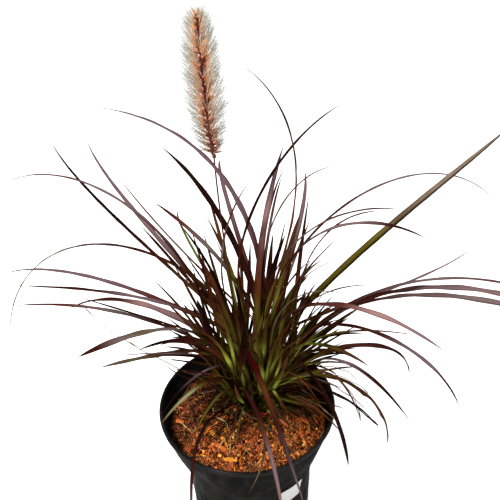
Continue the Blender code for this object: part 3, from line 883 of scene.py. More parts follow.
class Group(Graph):
    """A shader group being drawn, which several finishes share."""

    def __init__(self, name: str, **defaults: Any) -> None:
        """Makes the group, with an input for each default: a colour for four numbers."""
        super().__init__(bpy.data.node_groups.new(name, "ShaderNodeTree"))
        for label, default in defaults.items():
            kind = "NodeSocketColor" if isinstance(default, tuple) else "NodeSocketFloat"
            self.tree.interface.new_socket(label, in_out="INPUT", socket_type=kind).default_value = default
        self.given = self.add("NodeGroupInput").outputs

    def close(self, **made: Socket) -> bpy.types.NodeTree:
        """Gives the group an output for each socket, under its name, and ends it."""
        for label, socket in made.items():
            kind = "NodeSocketColor" if socket.type == "RGBA" else "NodeSocketFloat"
            self.tree.interface.new_socket(label, in_out="OUTPUT", socket_type=kind)
        self.add("NodeGroupOutput", made)
        return self.tree


class Effects:
    """Shader groups that several finishes share, each drawn once."""

    def __init__(self) -> None:
        """Draws all the groups."""
        self.leaf_grain = self._leaf_grain()
        self.mottle_and_shade = self._mottle_and_shade()
        self.dust = self._dust()

    @staticmethod
    def _leaf_grain() -> bpy.types.NodeTree:
        """Veins, midrib, darker edges and blotches that follow a blade.

        Veins are a sine of the share across, the midrib and the edges are ramps of its size, and
        blotches are noise stretched along the blade.

        Returns:
            The group.
        """
        group = Group("leaf grain", Tint=(0.1, 0.05, 0.05, 1.0), Veins=0.25, Blotches=0.35, Rib=0.4)
        tint, blotches = group.given["Tint"], group.given["Blotches"]
        lie = group.attribute("lie", "Vector")
        across = group.part(lie, 0)
        size = group.math("ABSOLUTE", across)
        vein = group.span(group.math("SINE", group.times(across, 19.0)), -1.0, 1.0)
        rib = group.span(size, 0.03, 0.14, 1.0, 0.0)
        rim = group.span(size, 0.55, 1.0)
        streak = group.noise(group.scaled(lie, (5.0, 6.0, 9.0)), 1.0, 3.0, 0.6)
        cloud = group.noise(group.scaled(lie, (0.9, 9.0, 31.0)), 1.0, 3.0, 0.55)
        darker = group.tinted(tint, 0.42, 0.3, 0.34)
        lighter = group.tinted(tint, 1.7, 1.6, 1.45)
        colour = group.mix(group.times(vein, group.given["Veins"]), tint, darker)
        colour = group.mix(group.times(group.span(cloud, 0.38, 0.72), blotches), colour, darker)
        colour = group.mix(group.times(group.span(streak, 0.5, 0.8, 0.0, 0.55), blotches), colour, lighter)
        colour = group.mix(group.times(rib, group.given["Rib"]), colour, lighter)
        colour = group.mix(group.times(rim, 0.75), colour, darker)
        height = group.math("ADD", group.times(vein, 0.5), group.times(streak, 0.6))
        return group.close(Color=colour, Roughness=group.span(streak, 0.3, 0.75, 0.34, 0.56), Height=height)

    @staticmethod
    def _mottle_and_shade() -> bpy.types.NodeTree:
        """Uneven colour and a fine rough grain from noise at two scales on object coordinates, with painted
        shade in the low parts of the relief.
        """
        group = Group("mottle_and_shade", Tint=(0.2, 0.1, 0.05, 1.0), Scale=300.0, Depth=0.5)
        tint, scale, depth = group.given["Tint"], group.given["Scale"], group.given["Depth"]
        place = group.object_place()
        broad = group.noise(place, scale, 4.0, 0.65)
        fine = group.noise(place, group.times(scale, 6.0))
        # Painted shade: where the broad noise, and so the height, is low, the colour is darkened.
        hollow_shade = group.times(group.span(broad, 0.4, 0.65, 1.0, 0.0), depth)
        colour = group.mix(hollow_shade, tint, group.tinted(tint, 0.35, 0.28, 0.25))
        grain = group.times(group.span(fine, 0.5, 0.7), depth)
        colour = group.mix(grain, colour, group.tinted(tint, 1.35, 1.3, 1.2))
        return group.close(Color=colour, Height=group.math("ADD", broad, group.times(fine, 0.5)))

    @staticmethod
    def _dust() -> bpy.types.NodeTree:
        """A thin pale film in patches, with fine specks, over any colour."""
        group = Group("dust", Color=(0.02, 0.02, 0.02, 1.0), Amount=0.3)
        place = group.object_place()
        patch = group.span(group.noise(place, 38.0, 5.0, 0.7), 0.45, 0.75)
        speck = group.span(group.noise(place, 900.0, 1.0), 0.66, 0.74, 0.0, 0.8)
        amount = group.times(group.math("ADD", patch, speck), group.given["Amount"])
        return group.close(Color=group.mix(amount, group.given["Color"], (0.3, 0.26, 0.22, 1.0)))


@dataclass(frozen=True)
class Finish:
    """What every finish has: the record's slot it belongs to."""

    slot: str

    def material(self, effects: Effects) -> bpy.types.Material:
        """Makes a material and draws the finish in it."""
        material = bpy.data.materials.new(self.slot)
        material.use_nodes = True
        graph = Graph(material.node_tree)
        graph.wire(material.node_tree.nodes["Principled BSDF"], self.inputs(graph, effects))
        return material

    def inputs(self, graph: Graph, effects: Effects) -> dict[str, Any]:
        """Draws the finish.

        Args:
            graph: the material's own nodes.
            effects: the groups that the finishes share.

        Returns:
            The names of the shader's inputs, each with its socket or value.
        """
        raise NotImplementedError


@dataclass(frozen=True)
class LeafFinish(Finish):
    """A blade's skin: satin, veined along its length."""

    veins: float = 0.25
    blotches: float = 0.4
    rib: float = 0.35
    gloss: float = 0.002

    def inputs(self, graph: Graph, effects: Effects) -> dict[str, Any]:
        """Draws the finish and gives the shader's inputs."""
        grain = graph.group(effects.leaf_grain, Tint=graph.attribute("tint", "Color"), Veins=self.veins,
                            Blotches=self.blotches, Rib=self.rib)
        return {"Base Color": grain["Color"], "Roughness": grain["Roughness"],
                "Normal": graph.bump(grain["Height"], 0.35, 0.0003), "Specular IOR Level": self.gloss}


@dataclass(frozen=True)
class EarthFinish(Finish):
    """Dry mineral or plant crumbs: matt, uneven in colour, rough to the touch."""

    scale: float = 300.0
    depth: float = 0.6
    roughness: float = 0.88
    gloss: float = 0.02

    def inputs(self, graph: Graph, effects: Effects) -> dict[str, Any]:
        """Draws the finish and gives the shader's inputs."""
        crumb = graph.group(effects.mottle_and_shade, Tint=graph.attribute("tint", "Color"), Scale=self.scale,
                            Depth=self.depth)
        return {"Base Color": crumb["Color"], "Normal": graph.bump(crumb["Height"], 0.6, 0.0006),
                "Roughness": self.roughness, "Specular IOR Level": self.gloss}


@dataclass(frozen=True)
class PlasticFinish(Finish):
    """Thin moulded plastic: satin black, faintly wavy, dusty in patches, burnished at the lip."""

    tint: Triple = (0.0046, 0.0046, 0.0042)
    dust: float = 0.034
    gloss: float = 0.0006

    def inputs(self, graph: Graph, effects: Effects) -> dict[str, Any]:
        """Draws the finish and gives the shader's inputs."""
        film = graph.group(effects.dust, Color=(*self.tint, 1.0), Amount=self.dust)
        place = graph.object_place()
        wavy = graph.bump(graph.noise(graph.scaled(place, (1.0, 1.0, 0.35)), 70.0), 0.5, 0.004)
        cloud = graph.noise(graph.scaled(place, (1.0, 1.0, 0.3)), 60.0, 4.0, 0.6)
        flow = graph.noise(graph.scaled(place, (1.0, 1.0, 0.2)), 100.0, 3.0, 0.6)
        streaks = graph.span(flow, 0.48, 0.7, 0.0, 0.02)
        lip = graph.span(graph.part(place, 2), 0.1655, 0.1675, 0.0, 0.08)
        return {"Base Color": film["Color"], "Roughness": graph.span(cloud, 0.3, 0.7, 0.26, 0.46),
                "Normal": graph.bump(graph.noise(place, 1400.0), 0.12, 0.0003, Normal=wavy),
                "Coat Weight": graph.math("MAXIMUM", streaks, lip), "Coat Roughness": 0.28,
                "Specular IOR Level": self.gloss}


@dataclass(frozen=True)
class LabelFinish(Finish):
    """Coated white paper, a little dusty."""

    tint: Triple = (0.26, 0.26, 0.25)
    dust: float = 0.18

    def inputs(self, graph: Graph, effects: Effects) -> dict[str, Any]:
        """Draws the finish and gives the shader's inputs."""
        film = graph.group(effects.dust, Color=(*self.tint, 1.0), Amount=self.dust)
        place = graph.object_place()
        return {"Base Color": film["Color"], "Normal": graph.bump(graph.noise(place, 2200.0), 0.08, 0.0002),
                "Roughness": graph.span(graph.noise(place, 120.0), 0.3, 0.7, 0.36, 0.5)}


@dataclass(frozen=True)
class BristleFinish(Finish):
    """Dry hairs and husks: soft, with a silky edge, uneven from one to the next."""

    roughness: float = 0.5
    gloss: float = 0.2

    def inputs(self, graph: Graph, effects: Effects) -> dict[str, Any]:
        """Draws the finish and gives the shader's inputs."""
        tint = graph.attribute("tint", "Color")
        cloud = graph.noise(graph.scaled(graph.attribute("lie", "Vector"), (1.0, 3.0, 17.0)), 1.0)
        uneven = graph.span(cloud, 0.3, 0.7, 0.0, 0.5)
        return {"Base Color": graph.mix(uneven, tint, graph.tinted(tint, 0.55, 0.42, 0.38)),
                "Roughness": self.roughness, "Specular IOR Level": self.gloss}


@dataclass(frozen=True)
class FloorFinish(Finish):
    """A plain pale floor that glows a little, so that shadows on it stay faint."""

    roughness: float = 0.7
    glow: float = 0.42

    def inputs(self, graph: Graph, effects: Effects) -> dict[str, Any]:
        """Draws the finish and gives the shader's inputs."""
        faint = graph.span(graph.noise(graph.object_place(), 3.0, 3.0), 0.3, 0.7, 0.0, 0.03)
        return {"Base Color": graph.mix(faint, (0.95, 0.95, 0.945, 1.0), (0.92, 0.92, 0.915, 1.0)),
                "Roughness": self.roughness, "Emission Color": WHITE, "Emission Strength": self.glow}


class Workshop:
    """Turns shapes into pieces that ride with the pot, and keeps one material for each slot."""

    def __init__(self, finishes: Sequence[Finish]) -> None:
        """Draws the shared effects and remembers the finishes by slot."""
        self.effects = Effects()
        self.finishes = {finish.slot: finish for finish in finishes}
        self.materials: dict[str, bpy.types.Material] = {}

    def material(self, slot: str) -> bpy.types.Material:
        """The slot's material, drawn the first time it is asked for."""
        if slot not in self.materials:
            self.materials[slot] = self.finishes[slot].material(self.effects)
        return self.materials[slot]

    def piece(
        self, name: str, shape: Shape, slot: str, *stands_for: str, sharp: float = 60.0
    ) -> bpy.types.Object:
        """Makes one piece of the plant or the pot.

        Args:
            name: its name.
            shape: its surface.
            slot: the record's slot whose finish it takes.
            stands_for: the solids that it replaces.
            sharp: edges that turn by more than this many degrees stay sharp.

        Returns:
            The object, riding on the one body.
        """
        piece = bpy.data.objects.new(name, shape.mesh(name, sharp))
        bpy.context.scene.collection.objects.link(piece)
        piece.data.materials.append(self.material(slot))
        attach(piece, BODY)
        if stands_for:
            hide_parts(*stands_for)
        faces = 2 * len(shape.quads) + len(shape.triangles)
        LOG.info("%s: %d triangles, for %s", name, faces, ", ".join(stands_for) or "no solid")
        return piece


def turned_rings(outline: Array, sides: int) -> Array:
    """Rings of a turned surface, the last axis being the place.

    Args:
        outline: rows of radius and height, from the inside over the top and down the outside.
        sides: places round a ring.

    Returns:
        One item of rings: each goes clockwise seen from above, so a turned shell faces outwards.
    """
    angles = -2 * np.pi * np.arange(sides) / sides
    level = outline[:, 0, None, None] * level_directions(angles)
    level[..., 2] = outline[:, 1, None]
    return level[None]


def smooth_outline(points: Sequence[Pair], steps: int) -> Array:
    """A curve through the given points, by cubic pieces that share each point's slope.

    Args:
        points: rows of two values.
        steps: pieces between neighbouring points.

    Returns:
        Rows of two values along the curve.
    """
    knots = np.array(points)
    slopes = np.gradient(knots, axis=0)
    share = (np.arange(steps) / steps)[None, :, None]
    start, end = knots[:-1, None], knots[1:, None]
    leave, arrive = slopes[:-1, None], slopes[1:, None]
    curve = (
        (2 * share**3 - 3 * share**2 + 1) * start
        + (share**3 - 2 * share**2 + share) * leave
        + (3 * share**2 - 2 * share**3) * end
        + (share**3 - share**2) * arrive
    )
    return np.vstack([curve.reshape(-1, 2), knots[-1]])


@dataclass(frozen=True)
class Pot:
    """A thin black nursery pot: bell-shaped wall, rolled lip, floor with drain holes."""

    height: float = 0.17
    rim_radius: float = 0.0825
    lip_depth: float = 0.0045
    wall: float = 0.0014
    floor: float = 0.003
    roll_radius: float = 0.0016
    foot_radius: float = 0.003
    mean_radius: float = 0.06
    drain_holes: int = 4
    drain_radius: float = 0.005
    drain_circle: float = 0.044
    sides: int = 192
    outline: tuple[Pair, ...] = (
        (0.058, 0.003), (0.059, 0.03), (0.0597, 0.06), (0.0607, 0.085), (0.0636, 0.105),
        (0.0675, 0.12), (0.0725, 0.135), (0.077, 0.15), (0.0806, 0.165))

    def wall_radius(self, height: Array | float) -> Array | float:
        """The wall's outer radius at a height, read off the outline."""
        curve = smooth_outline(self.outline, 6)
        return np.interp(height, curve[:, 1], curve[:, 0])

    def profile(self) -> Array:
        """From the middle of the floor up the inside, over the rolled lip and down the outside.

        The lip is an arc of a circle above and a short straight skirt, and the foot is rounded
        by a quarter circle.

        Returns:
            Rows of radius and height.
        """
        curve = smooth_outline(self.outline, 6)
        under_lip = self.height - self.lip_depth
        inside = curve - [self.wall, 0.0]
        inside = inside[inside[:, 1] < under_lip]
        turn = np.linspace(np.pi, -0.15 * np.pi, 12)
        roll = np.stack([self.rim_radius - self.roll_radius + self.roll_radius * np.cos(turn),
                         self.height - self.roll_radius + self.roll_radius * np.sin(turn)], 1)
        skirt = np.array([[self.rim_radius - 0.0001, self.height - self.lip_depth / 2],
                          [self.rim_radius - 0.0003, under_lip + 0.0004],
                          [self.rim_radius - 0.0009, under_lip]])
        outside = curve[curve[:, 1] < under_lip - 0.001][::-1]
        bend = np.linspace(0, np.pi / 2, 5)[1:]
        foot = np.stack([self.outline[0][0] - self.foot_radius * (1 - np.cos(bend)),
                         self.foot_radius * (1 - np.sin(bend))], 1)
        spread = np.linspace(0.002, inside[0, 0] - 0.001, 14)
        floor = np.stack([spread, np.full(14, self.floor)], 1)
        under_spread = np.linspace(foot[-1, 0] - 0.002, 0.002, 14)
        under = np.stack([under_spread, np.zeros(14)], 1)
        return np.vstack([floor, inside, roll, skirt, outside, foot, under])

    def shape(self) -> Shape:
        """The pot without its drain holes.

        The wall's radius waves by a fraction of a millimetre: sines of the angle and height that
        fade out at the lip and the foot, as in thin plastic pulled off its mould.

        Returns:
            One closed shell.
        """
        rings = turned_rings(self.profile(), self.sides)
        angle = np.arctan2(rings[..., 1], rings[..., 0])
        height = rings[..., 2]
        fade = ease(height / 0.02) * ease((self.height - height) / 0.012)
        flutes = 0.00022 * np.sin(24 * angle + 6 * np.sin(height * 30))
        flutes = flutes + 0.0003 * np.sin(7 * angle + height * 55)
        dents = 0.00025 * np.sin(11 * angle - height * 90) * np.sin(height * 75 + 2 * angle)
        rings[..., :2] *= (1 + fade * (flutes + dents) / self.mean_radius)[..., None]
        return shells(rings, np.zeros(3), np.zeros(3))

    def build(self, workshop: Workshop) -> None:
        """Makes the pot, and cuts the drain holes through its floor."""
        pot = workshop.piece("nursery_pot", self.shape(), "pot", "pot", sharp=40)
        for hole in range(self.drain_holes):
            angle = np.pi / self.drain_holes + 2 * np.pi * hole / self.drain_holes
            bpy.ops.mesh.primitive_cylinder_add(
                vertices=40, radius=self.drain_radius, depth=4 * self.floor,
                location=(self.drain_circle * np.cos(angle), self.drain_circle * np.sin(angle), 0.0))
            cutter = bpy.context.object
            cut = pot.modifiers.new(f"Drain {hole + 1}", "BOOLEAN")
            cut.operation = "DIFFERENCE"
            cut.object = cutter
            apply_modifiers(pot)
            bpy.data.objects.remove(cutter, do_unlink=True)
        pot.data.set_sharp_from_angle(angle=np.radians(40))


def apply_modifiers(piece: bpy.types.Object) -> None:
    """Keeps what a piece's modifiers make as its own mesh."""
    graph = bpy.context.evaluated_depsgraph_get()
    made = bpy.data.meshes.new_from_object(piece.evaluated_get(graph))
    piece.modifiers.clear()
    piece.data = made


@dataclass(frozen=True)
class Label:
    """A blank sticker on the front right of the wall, one corner a little loose."""

    pot: Pot
    top: float = 0.111
    bottom: float = 0.086
    start: float = -65.0
    angle: float = 23.0
    thickness: float = 0.0003
    corner: float = 0.003
    curl: float = 0.0006
    wall_radius: float = 0.062

    def build(self, workshop: Workshop) -> None:
        """Makes the sticker.

        It runs round the wall. Its half height is cut back by a circle's arc at both ends, for
        round corners, and the far lower corner stands off by the curl times a cube.
        """
        share = np.linspace(0, 1, 60)
        angle = np.radians(self.start + self.angle * share)
        across = np.linspace(-1, 1, 13)
        length = self.wall_radius * np.radians(self.angle)
        inset = np.clip(self.corner - np.minimum(share, 1 - share) * length, 0, None)
        cut = self.corner - np.sqrt(np.clip(self.corner**2 - inset**2, 0, None))
        half = (self.top - self.bottom) / 2 - cut
        height = (self.top + self.bottom) / 2 + half[:, None] * across
        lift = self.curl * share[:, None] ** 6 * (0.5 - 0.5 * across) ** 3
        inner = self.pot.wall_radius(height) + 2 * TOUCH_GAP + lift
        radius = np.concatenate([inner[:, ::-1], inner + self.thickness], 1)
        level = radius[..., None] * level_directions(angle)[:, None]
        level[..., 2] = np.concatenate([height[:, ::-1], height], 1)
        shape = shells(level[None, :, ::-1], np.array(Tint.PERLITE.value), np.zeros(3))
        workshop.piece("blank_label", shape, "label", "pot_label", sharp=40)


@dataclass(frozen=True)
class SoilBed:
    """The fill of bark and coir, level round the crown and falling away to the wall."""

    pot: Pot
    level_radius: float = 0.05
    edge_top: float = 0.146
    sides: int = 160
    waves: int = 26
    wavelengths: Pair = (0.005, 0.03)
    steepness: float = 0.0075
    sink: float = 0.0006
    # the drop outwards over which the painted light on the relief comes to full
    relief_light_depth: float = 0.0006
    seed: int = 11

    def edge_radius(self) -> float:
        """How far out the top reaches."""
        return float(self.pot.wall_radius(self.edge_top)) - self.pot.wall - TOUCH_GAP

    def height(self, x: Array, y: Array) -> Array:
        """The surface's height.

        It is the level of the solid, and a sum of small sines in all directions, each with an
        amplitude that shrinks with its wavelength.

        Args:
            x, y: places on the surface.

        Returns:
            Heights of the same shape.
        """
        draw = np.random.default_rng(self.seed)
        radius = np.hypot(x, y)
        fall = np.clip((radius - self.level_radius) / (self.edge_radius() - self.level_radius), 0, None)
        lumps = np.zeros_like(radius)
        for _ in range(self.waves):
            wavelength = draw.uniform(*self.wavelengths)
            direction = draw.uniform(0, 2 * np.pi)
            phase = draw.uniform(0, 2 * np.pi)
            run = x * np.cos(direction) + y * np.sin(direction)
            lumps += self.steepness * wavelength * np.sin(2 * np.pi * run / wavelength + phase)
        return SOIL_TOP - (SOIL_TOP - self.edge_top) * fall ** 1.2 + lumps - self.sink

    def place(self, count: int, draw: Draw) -> tuple[Array, Array]:
        """Random places spread evenly over the surface."""
        radius = (self.edge_radius() - 0.0012) * np.sqrt(draw.uniform(0, 1, count))
        angle = draw.uniform(0, 2 * np.pi, count)
        return radius * np.cos(angle), radius * np.sin(angle)

    def routes(self, x: Array, y: Array, heading: Array, length: Array, margin: float) -> Array:
        """Routes over the bed in equal level steps, drawn inwards where they would pass its edge.

        Args:
            x, y: where each route starts.
            heading: by route and step, in radians.
            length: of each route.
            margin: how far inside the edge they stay.

        Returns:
            Places by route and step, with no height yet.
        """
        moves = level_directions(heading)[:, :-1] * (length / (heading.shape[1] - 1))[:, None, None]
        route = np.concatenate([np.zeros((len(length), 1, 3)), np.cumsum(moves, 1)], 1)
        route[..., 0] += x[:, None]
        route[..., 1] += y[:, None]
        reach = np.hypot(route[..., 0], route[..., 1])
        route[..., :2] *= np.minimum(1.0, (self.edge_radius() - margin) / reach)[..., None]
        return route

    def build(self, workshop: Workshop) -> None:
        """Makes the bed: rings out over the top, down inside the wall and in over the bottom, with painted
        light and shade on the relief of the top.
        """
        edge = self.edge_radius()
        out = np.linspace(0.0006, edge, 86)
        bottom = self.pot.floor + TOUCH_GAP
        heights = np.linspace(self.edge_top - 0.004, bottom, 14)
        side = np.stack([self.pot.wall_radius(heights) - self.pot.wall - TOUCH_GAP, heights], 1)
        outline = np.vstack([np.stack([out, out * 0 + self.edge_top], 1), side, [[0.001, bottom]]])
        rings = turned_rings(outline, self.sides)
        top = rings[:, : len(out)]
        top[..., 2] = self.height(top[..., 0], top[..., 1])
        # Painted light and shade of the relief: the peat is lightened where the surface falls away outwards,
        # and stays dark where it rises.
        sunk = (top[..., 2] - self.height(top[..., 0] * 1.03, top[..., 1] * 1.03)) / self.relief_light_depth
        tint = np.broadcast_to(Tint.PEAT.value, rings.shape).copy()
        tint[:, : len(out)] += np.clip(sunk, 0, 1)[..., None] * np.array([0.08, 0.03, 0.01])
        workshop.piece("soil_bed", shells(rings, tint, np.zeros(3)), "soil", "soil")


def lumps(centres: Array, sizes: Array, tint: Array, draw: Draw) -> Shape:
    """Angular crumbs: icosahedra pulled out of true.

    Each corner is moved in or out by a random share, the three axes are stretched by the crumb's
    sizes, and the crumb is turned at random.

    Args:
        centres: a place for each crumb.
        sizes: three half sizes for each crumb.
        tint: a colour for each crumb.
        draw: where the random numbers come from.

    Returns:
        All crumbs as one shape of triangles.
    """
    golden = (1 + 5**0.5) / 2
    corners = unit(np.array([(-1, golden, 0), (1, golden, 0), (-1, -golden, 0), (1, -golden, 0),
                             (0, -1, golden), (0, 1, golden), (0, -1, -golden), (0, 1, -golden),
                             (golden, 0, -1), (golden, 0, 1), (-golden, 0, -1), (-golden, 0, 1)]))
    faces = np.array([(0, 11, 5), (0, 5, 1), (0, 1, 7), (0, 7, 10), (0, 10, 11), (1, 5, 9), (5, 11, 4),
                      (11, 10, 2), (10, 7, 6), (7, 1, 8), (3, 9, 4), (3, 4, 2), (3, 2, 6), (3, 6, 8),
                      (3, 8, 9), (4, 9, 5), (2, 4, 11), (6, 2, 10), (8, 6, 7), (9, 8, 1)])
    count = len(centres)
    rough = corners * draw.uniform(0.62, 1.25, (count, 12, 1))
    turn = np.linalg.qr(draw.normal(size=(count, 3, 3)))[0]
    turn *= np.sign(np.linalg.det(turn))[:, None, None]
    spun = np.einsum("nij,nkj->nki", turn, rough * sizes[:, None])
    points = (spun + centres[:, None]).reshape(-1, 3)
    triangles = (faces + 12 * np.arange(count)[:, None, None]).reshape(-1, 3)
    lie = laid(rough, 0.0, 0.0, draw.uniform(0, 1, count)[:, None])
    return Shape(points, np.zeros((0, 4), int), triangles, np.repeat(tint, 12, 0), lie.reshape(-1, 3))


@dataclass(frozen=True)
class Bit:
    """A chip or straw that can be told apart on the soil, from end to end."""

    start: Pair
    end: Pair
    width: float
    tint: Tint
    lift: float = 0.0012
    bow: float = 0.0


BITS = (
    Bit((-0.068, -0.007), (-0.06, -0.0085), 0.006, Tint.ORANGE, 0.002),
    Bit((-0.064, -0.0095), (-0.053, -0.021), 0.0018, Tint.STRAW, 0.003),
    Bit((-0.0675, -0.019), (-0.056, -0.0185), 0.002, Tint.RUST, 0.0018),
    Bit((-0.0375, -0.018), (-0.029, -0.03), 0.0065, Tint.AMBER, 0.0022),
    Bit((-0.0345, -0.017), (-0.04, -0.027), 0.004, Tint.ORANGE, 0.0026),
    Bit((-0.024, -0.03), (-0.019, -0.042), 0.0036, Tint.AMBER, 0.002),
    Bit((-0.029, -0.038), (-0.0205, -0.0465), 0.0066, Tint.ORANGE, 0.0024),
    Bit((-0.0225, -0.053), (-0.01, -0.0545), 0.0065, Tint.AMBER, 0.0024),
    Bit((-0.029, -0.0084), (-0.018, -0.0225), 0.0014, Tint.CREAM, 0.003, 0.003),
    Bit((-0.0175, -0.0222), (-0.0165, -0.0472), 0.0016, Tint.STRAW, 0.0032, 0.0008),
    Bit((-0.0215, -0.033), (-0.027, -0.045), 0.0022, Tint.STRAW, 0.0036),
    Bit((-0.029, 0.039), (-0.018, 0.0185), 0.0016, Tint.STRAW, 0.004),
    Bit((-0.034, 0.008), (-0.032, -0.004), 0.0016, Tint.CREAM, 0.003),
    Bit((-0.0335, 0.015), (-0.027, 0.014), 0.0014, Tint.CREAM, 0.0034),
    Bit((-0.01, -0.019), (-0.002, -0.003), 0.0012, Tint.STRAW, 0.0036, 0.001),
    Bit((-0.006, -0.005), (0.002, -0.001), 0.001, Tint.CREAM, 0.004),
    Bit((0.04, -0.025), (0.052, -0.048), 0.0012, Tint.CORAL, 0.0036, 0.004),
    Bit((0.024, -0.023), (0.033, -0.042), 0.003, Tint.ORANGE, 0.0022),
    Bit((0.056, -0.016), (0.057, -0.027), 0.0014, Tint.STRAW, 0.0026),
    Bit((0.011, -0.019), (0.019, -0.033), 0.005, Tint.CORAL, 0.0018),
    Bit((0.05, -0.012), (0.057, -0.019), 0.0055, Tint.ORANGE, 0.002),
    Bit((-0.04, -0.061), (-0.025, -0.064), 0.0014, Tint.STRAW, 0.0022),
)


@dataclass(frozen=True)
class SoilDressing:
    """What lies on the bed: crumbs of bark and coir, fibres, chips and straws, and perlite."""

    bed: SoilBed
    crumbs: int = 8400
    fibres: int = 3900
    flakes: int = 460
    grains: int = 120
    crumb_size: Pair = (0.0004, 0.0013)
    flake_size: Pair = (0.0007, 0.0017)
    grain_size: Pair = (0.0003, 0.0009)
    fibre_length: Pair = (0.003, 0.012)
    fibre_radius: Pair = (0.0001, 0.0003)
    pale_share: float = 0.26
    seed: int = 5

    def tints_with_painted_shade(self, x: Array, y: Array, draw: Draw) -> Array:
        """A pigment for each place, with painted light and shade: orange and rust as if sunlit in front, and
        darker pigments as painted shade under the plant.
        """
        palette = pigments("ORANGE RUST AMBER STRAW UMBER PEAT CORAL".split())
        # Painted light in front and painted shade towards the back, under the plant: the back mixes in the
        # darker palette.
        painted_light = np.array([0.31, 0.17, 0.1, 0.08, 0.06, 0.22, 0.06])
        painted_shade = np.array([0.04, 0.16, 0.01, 0.03, 0.3, 0.45, 0.01])
        back = ease((y + 0.012 + 0.01 * np.sin(60 * x) - 0.52 * x) / 0.03)
        weights = np.cumsum(painted_light + (painted_shade - painted_light) * back[:, None], axis=1)
        pick = (draw.uniform(0, 1, len(x))[:, None] > weights).sum(1).clip(0, len(palette) - 1)
        return palette[pick] * np.exp(draw.normal(-0.18, 0.65, (len(x), 1))).clip(0.12, 2.3)

    def build_crumbs(self, workshop: Workshop) -> None:
        """Scatters crumbs, half sunk and mostly small, and flat flakes of bark over them."""
        draw = np.random.default_rng(self.seed)
        x, y = self.bed.place(self.crumbs, draw)
        size = self.crumb_size[0] + self.crumb_size[1] * draw.uniform(0, 1, self.crumbs) ** 2.6
        sizes = size[:, None] * draw.uniform(0.5, 1.4, (self.crumbs, 3))
        z = self.bed.height(x, y) + size * draw.uniform(-0.2, 0.9, self.crumbs)
        crumbs = lumps(np.stack([x, y, z], 1), sizes, self.tints_with_painted_shade(x, y, draw), draw)
        x, y = self.bed.place(self.flakes, draw)
        size = draw.uniform(*self.flake_size, self.flakes)
        z = self.bed.height(x, y) + size * 0.6
        flat = size[:, None] * draw.uniform(0.7, 1.3, (self.flakes, 3)) * np.array([1.5, 0.8, 0.35])
        tints = self.tints_with_painted_shade(x, y, draw) * 1.1
        flakes = lumps(np.stack([x, y, z], 1), flat, tints, draw)
        workshop.piece("soil_crumbs", Shape.joined([crumbs, flakes]), "soil", sharp=25)

    def build_fibres(self, workshop: Workshop) -> None:
        """Lays the fibres: thin arcs whose heading turns evenly and whose middle stands up."""
        draw, count = np.random.default_rng(self.seed + 1), self.fibres
        x, y = self.bed.place(count, draw)
        x, y = x * 0.97, y * 0.97
        share = np.linspace(0, 1, 6)
        length = draw.uniform(*self.fibre_length, count)
        heading = draw.uniform(0, 2 * np.pi, count)[:, None]
        heading = heading + draw.normal(0, 1.9, count)[:, None] * (share - 0.5)
        route = self.bed.routes(x, y, heading, length, 0.001)
        lift = draw.uniform(0.0004, 0.0024, count)[:, None] * (0.35 + np.sin(np.pi * share))
        route[..., 2] = self.bed.height(route[..., 0], route[..., 1]) + lift
        radius = draw.uniform(*self.fibre_radius, count)[:, None] * (1 - 0.5 * share)
        pale = draw.uniform(0, 1, count) < self.pale_share
        tint = self.tints_with_painted_shade(x, y, draw) * 1.25
        tint[pale] = np.array(Tint.CORAL.value) * draw.uniform(0.6, 1.2, (pale.sum(), 1))
        tint = np.repeat(tint[:, None], len(share), 1)
        fibres = tubes(route, radius, tint, 4, draw.uniform(0, 1, count))
        workshop.piece("coir_fibres", fibres, "soil", sharp=80)

    def build_chips(self, workshop: Workshop) -> None:
        """Lays the chips and straws that can be told apart, and pale grains of perlite."""
        draw = np.random.default_rng(self.seed + 2)
        share = np.array([0.0, 0.04, 0.27, 0.5, 0.73, 0.96, 1.0])
        shapes = []
        for number, bit in enumerate(BITS):
            start, end = np.array(bit.start), np.array(bit.end)
            run = end - start
            side = np.array([-run[1], run[0]]) / np.linalg.norm(run)
            route = start + share[:, None] * run + (bit.bow * np.sin(np.pi * share))[:, None] * side
            height = self.bed.height(route[:, 0], route[:, 1]).max() + bit.lift * draw.uniform(0.4, 1.0, 7)
            corners = draw.uniform(0.35, 1.0, (2, 3))
            sides = np.stack([np.interp(share, (0.04, 0.5, 0.96), row) for row in corners], 1)
            ragged = bit.width / 2 * sides * draw.uniform(0.94, 1.06, (7, 2))
            shapes.append(self.slab(route, height, side, ragged, bit, number))
        x, y = self.bed.place(self.grains, draw)
        size = draw.uniform(*self.grain_size, self.grains)
        z = self.bed.height(x, y) + size * 0.8
        pale = np.array(Tint.PERLITE.value) * draw.uniform(0.6, 1.0, (self.grains, 1))
        shapes.append(lumps(np.stack([x, y, z], 1), size[:, None] * np.ones(3), pale, draw))
        workshop.piece("bark_chips", Shape.joined(shapes), "soil", sharp=35)

    @staticmethod
    def slab(route: Array, height: Array, side: Array, half: Array, bit: Bit, number: int) -> Shape:
        """A flat chip: six places round a section that is as thick as a third of its width."""
        across = np.array([1.0, 0.55, -0.6, -1.0, -0.5, 0.5])
        up = np.array([0.0, -0.5, -0.5, 0.0, 0.5, 0.55])
        reach = np.where(across > 0, half[:, :1], half[:, 1:]) * across
        rings = np.zeros((len(route), 6, 3))
        rings[..., :2] = route[:, None] + reach[..., None] * side
        rings[..., 2] = height[:, None] + up * min(0.0011, bit.width / 2.5)
        lie = laid(rings, across, np.linspace(0, 1, len(route))[:, None], number)
        return shells(rings[None], np.array(bit.tint.value), lie[None])

    def build(self, workshop: Workshop) -> None:
        """Makes everything that lies on the bed."""
        self.build_crumbs(workshop)
        self.build_fibres(workshop)
        self.build_chips(workshop)


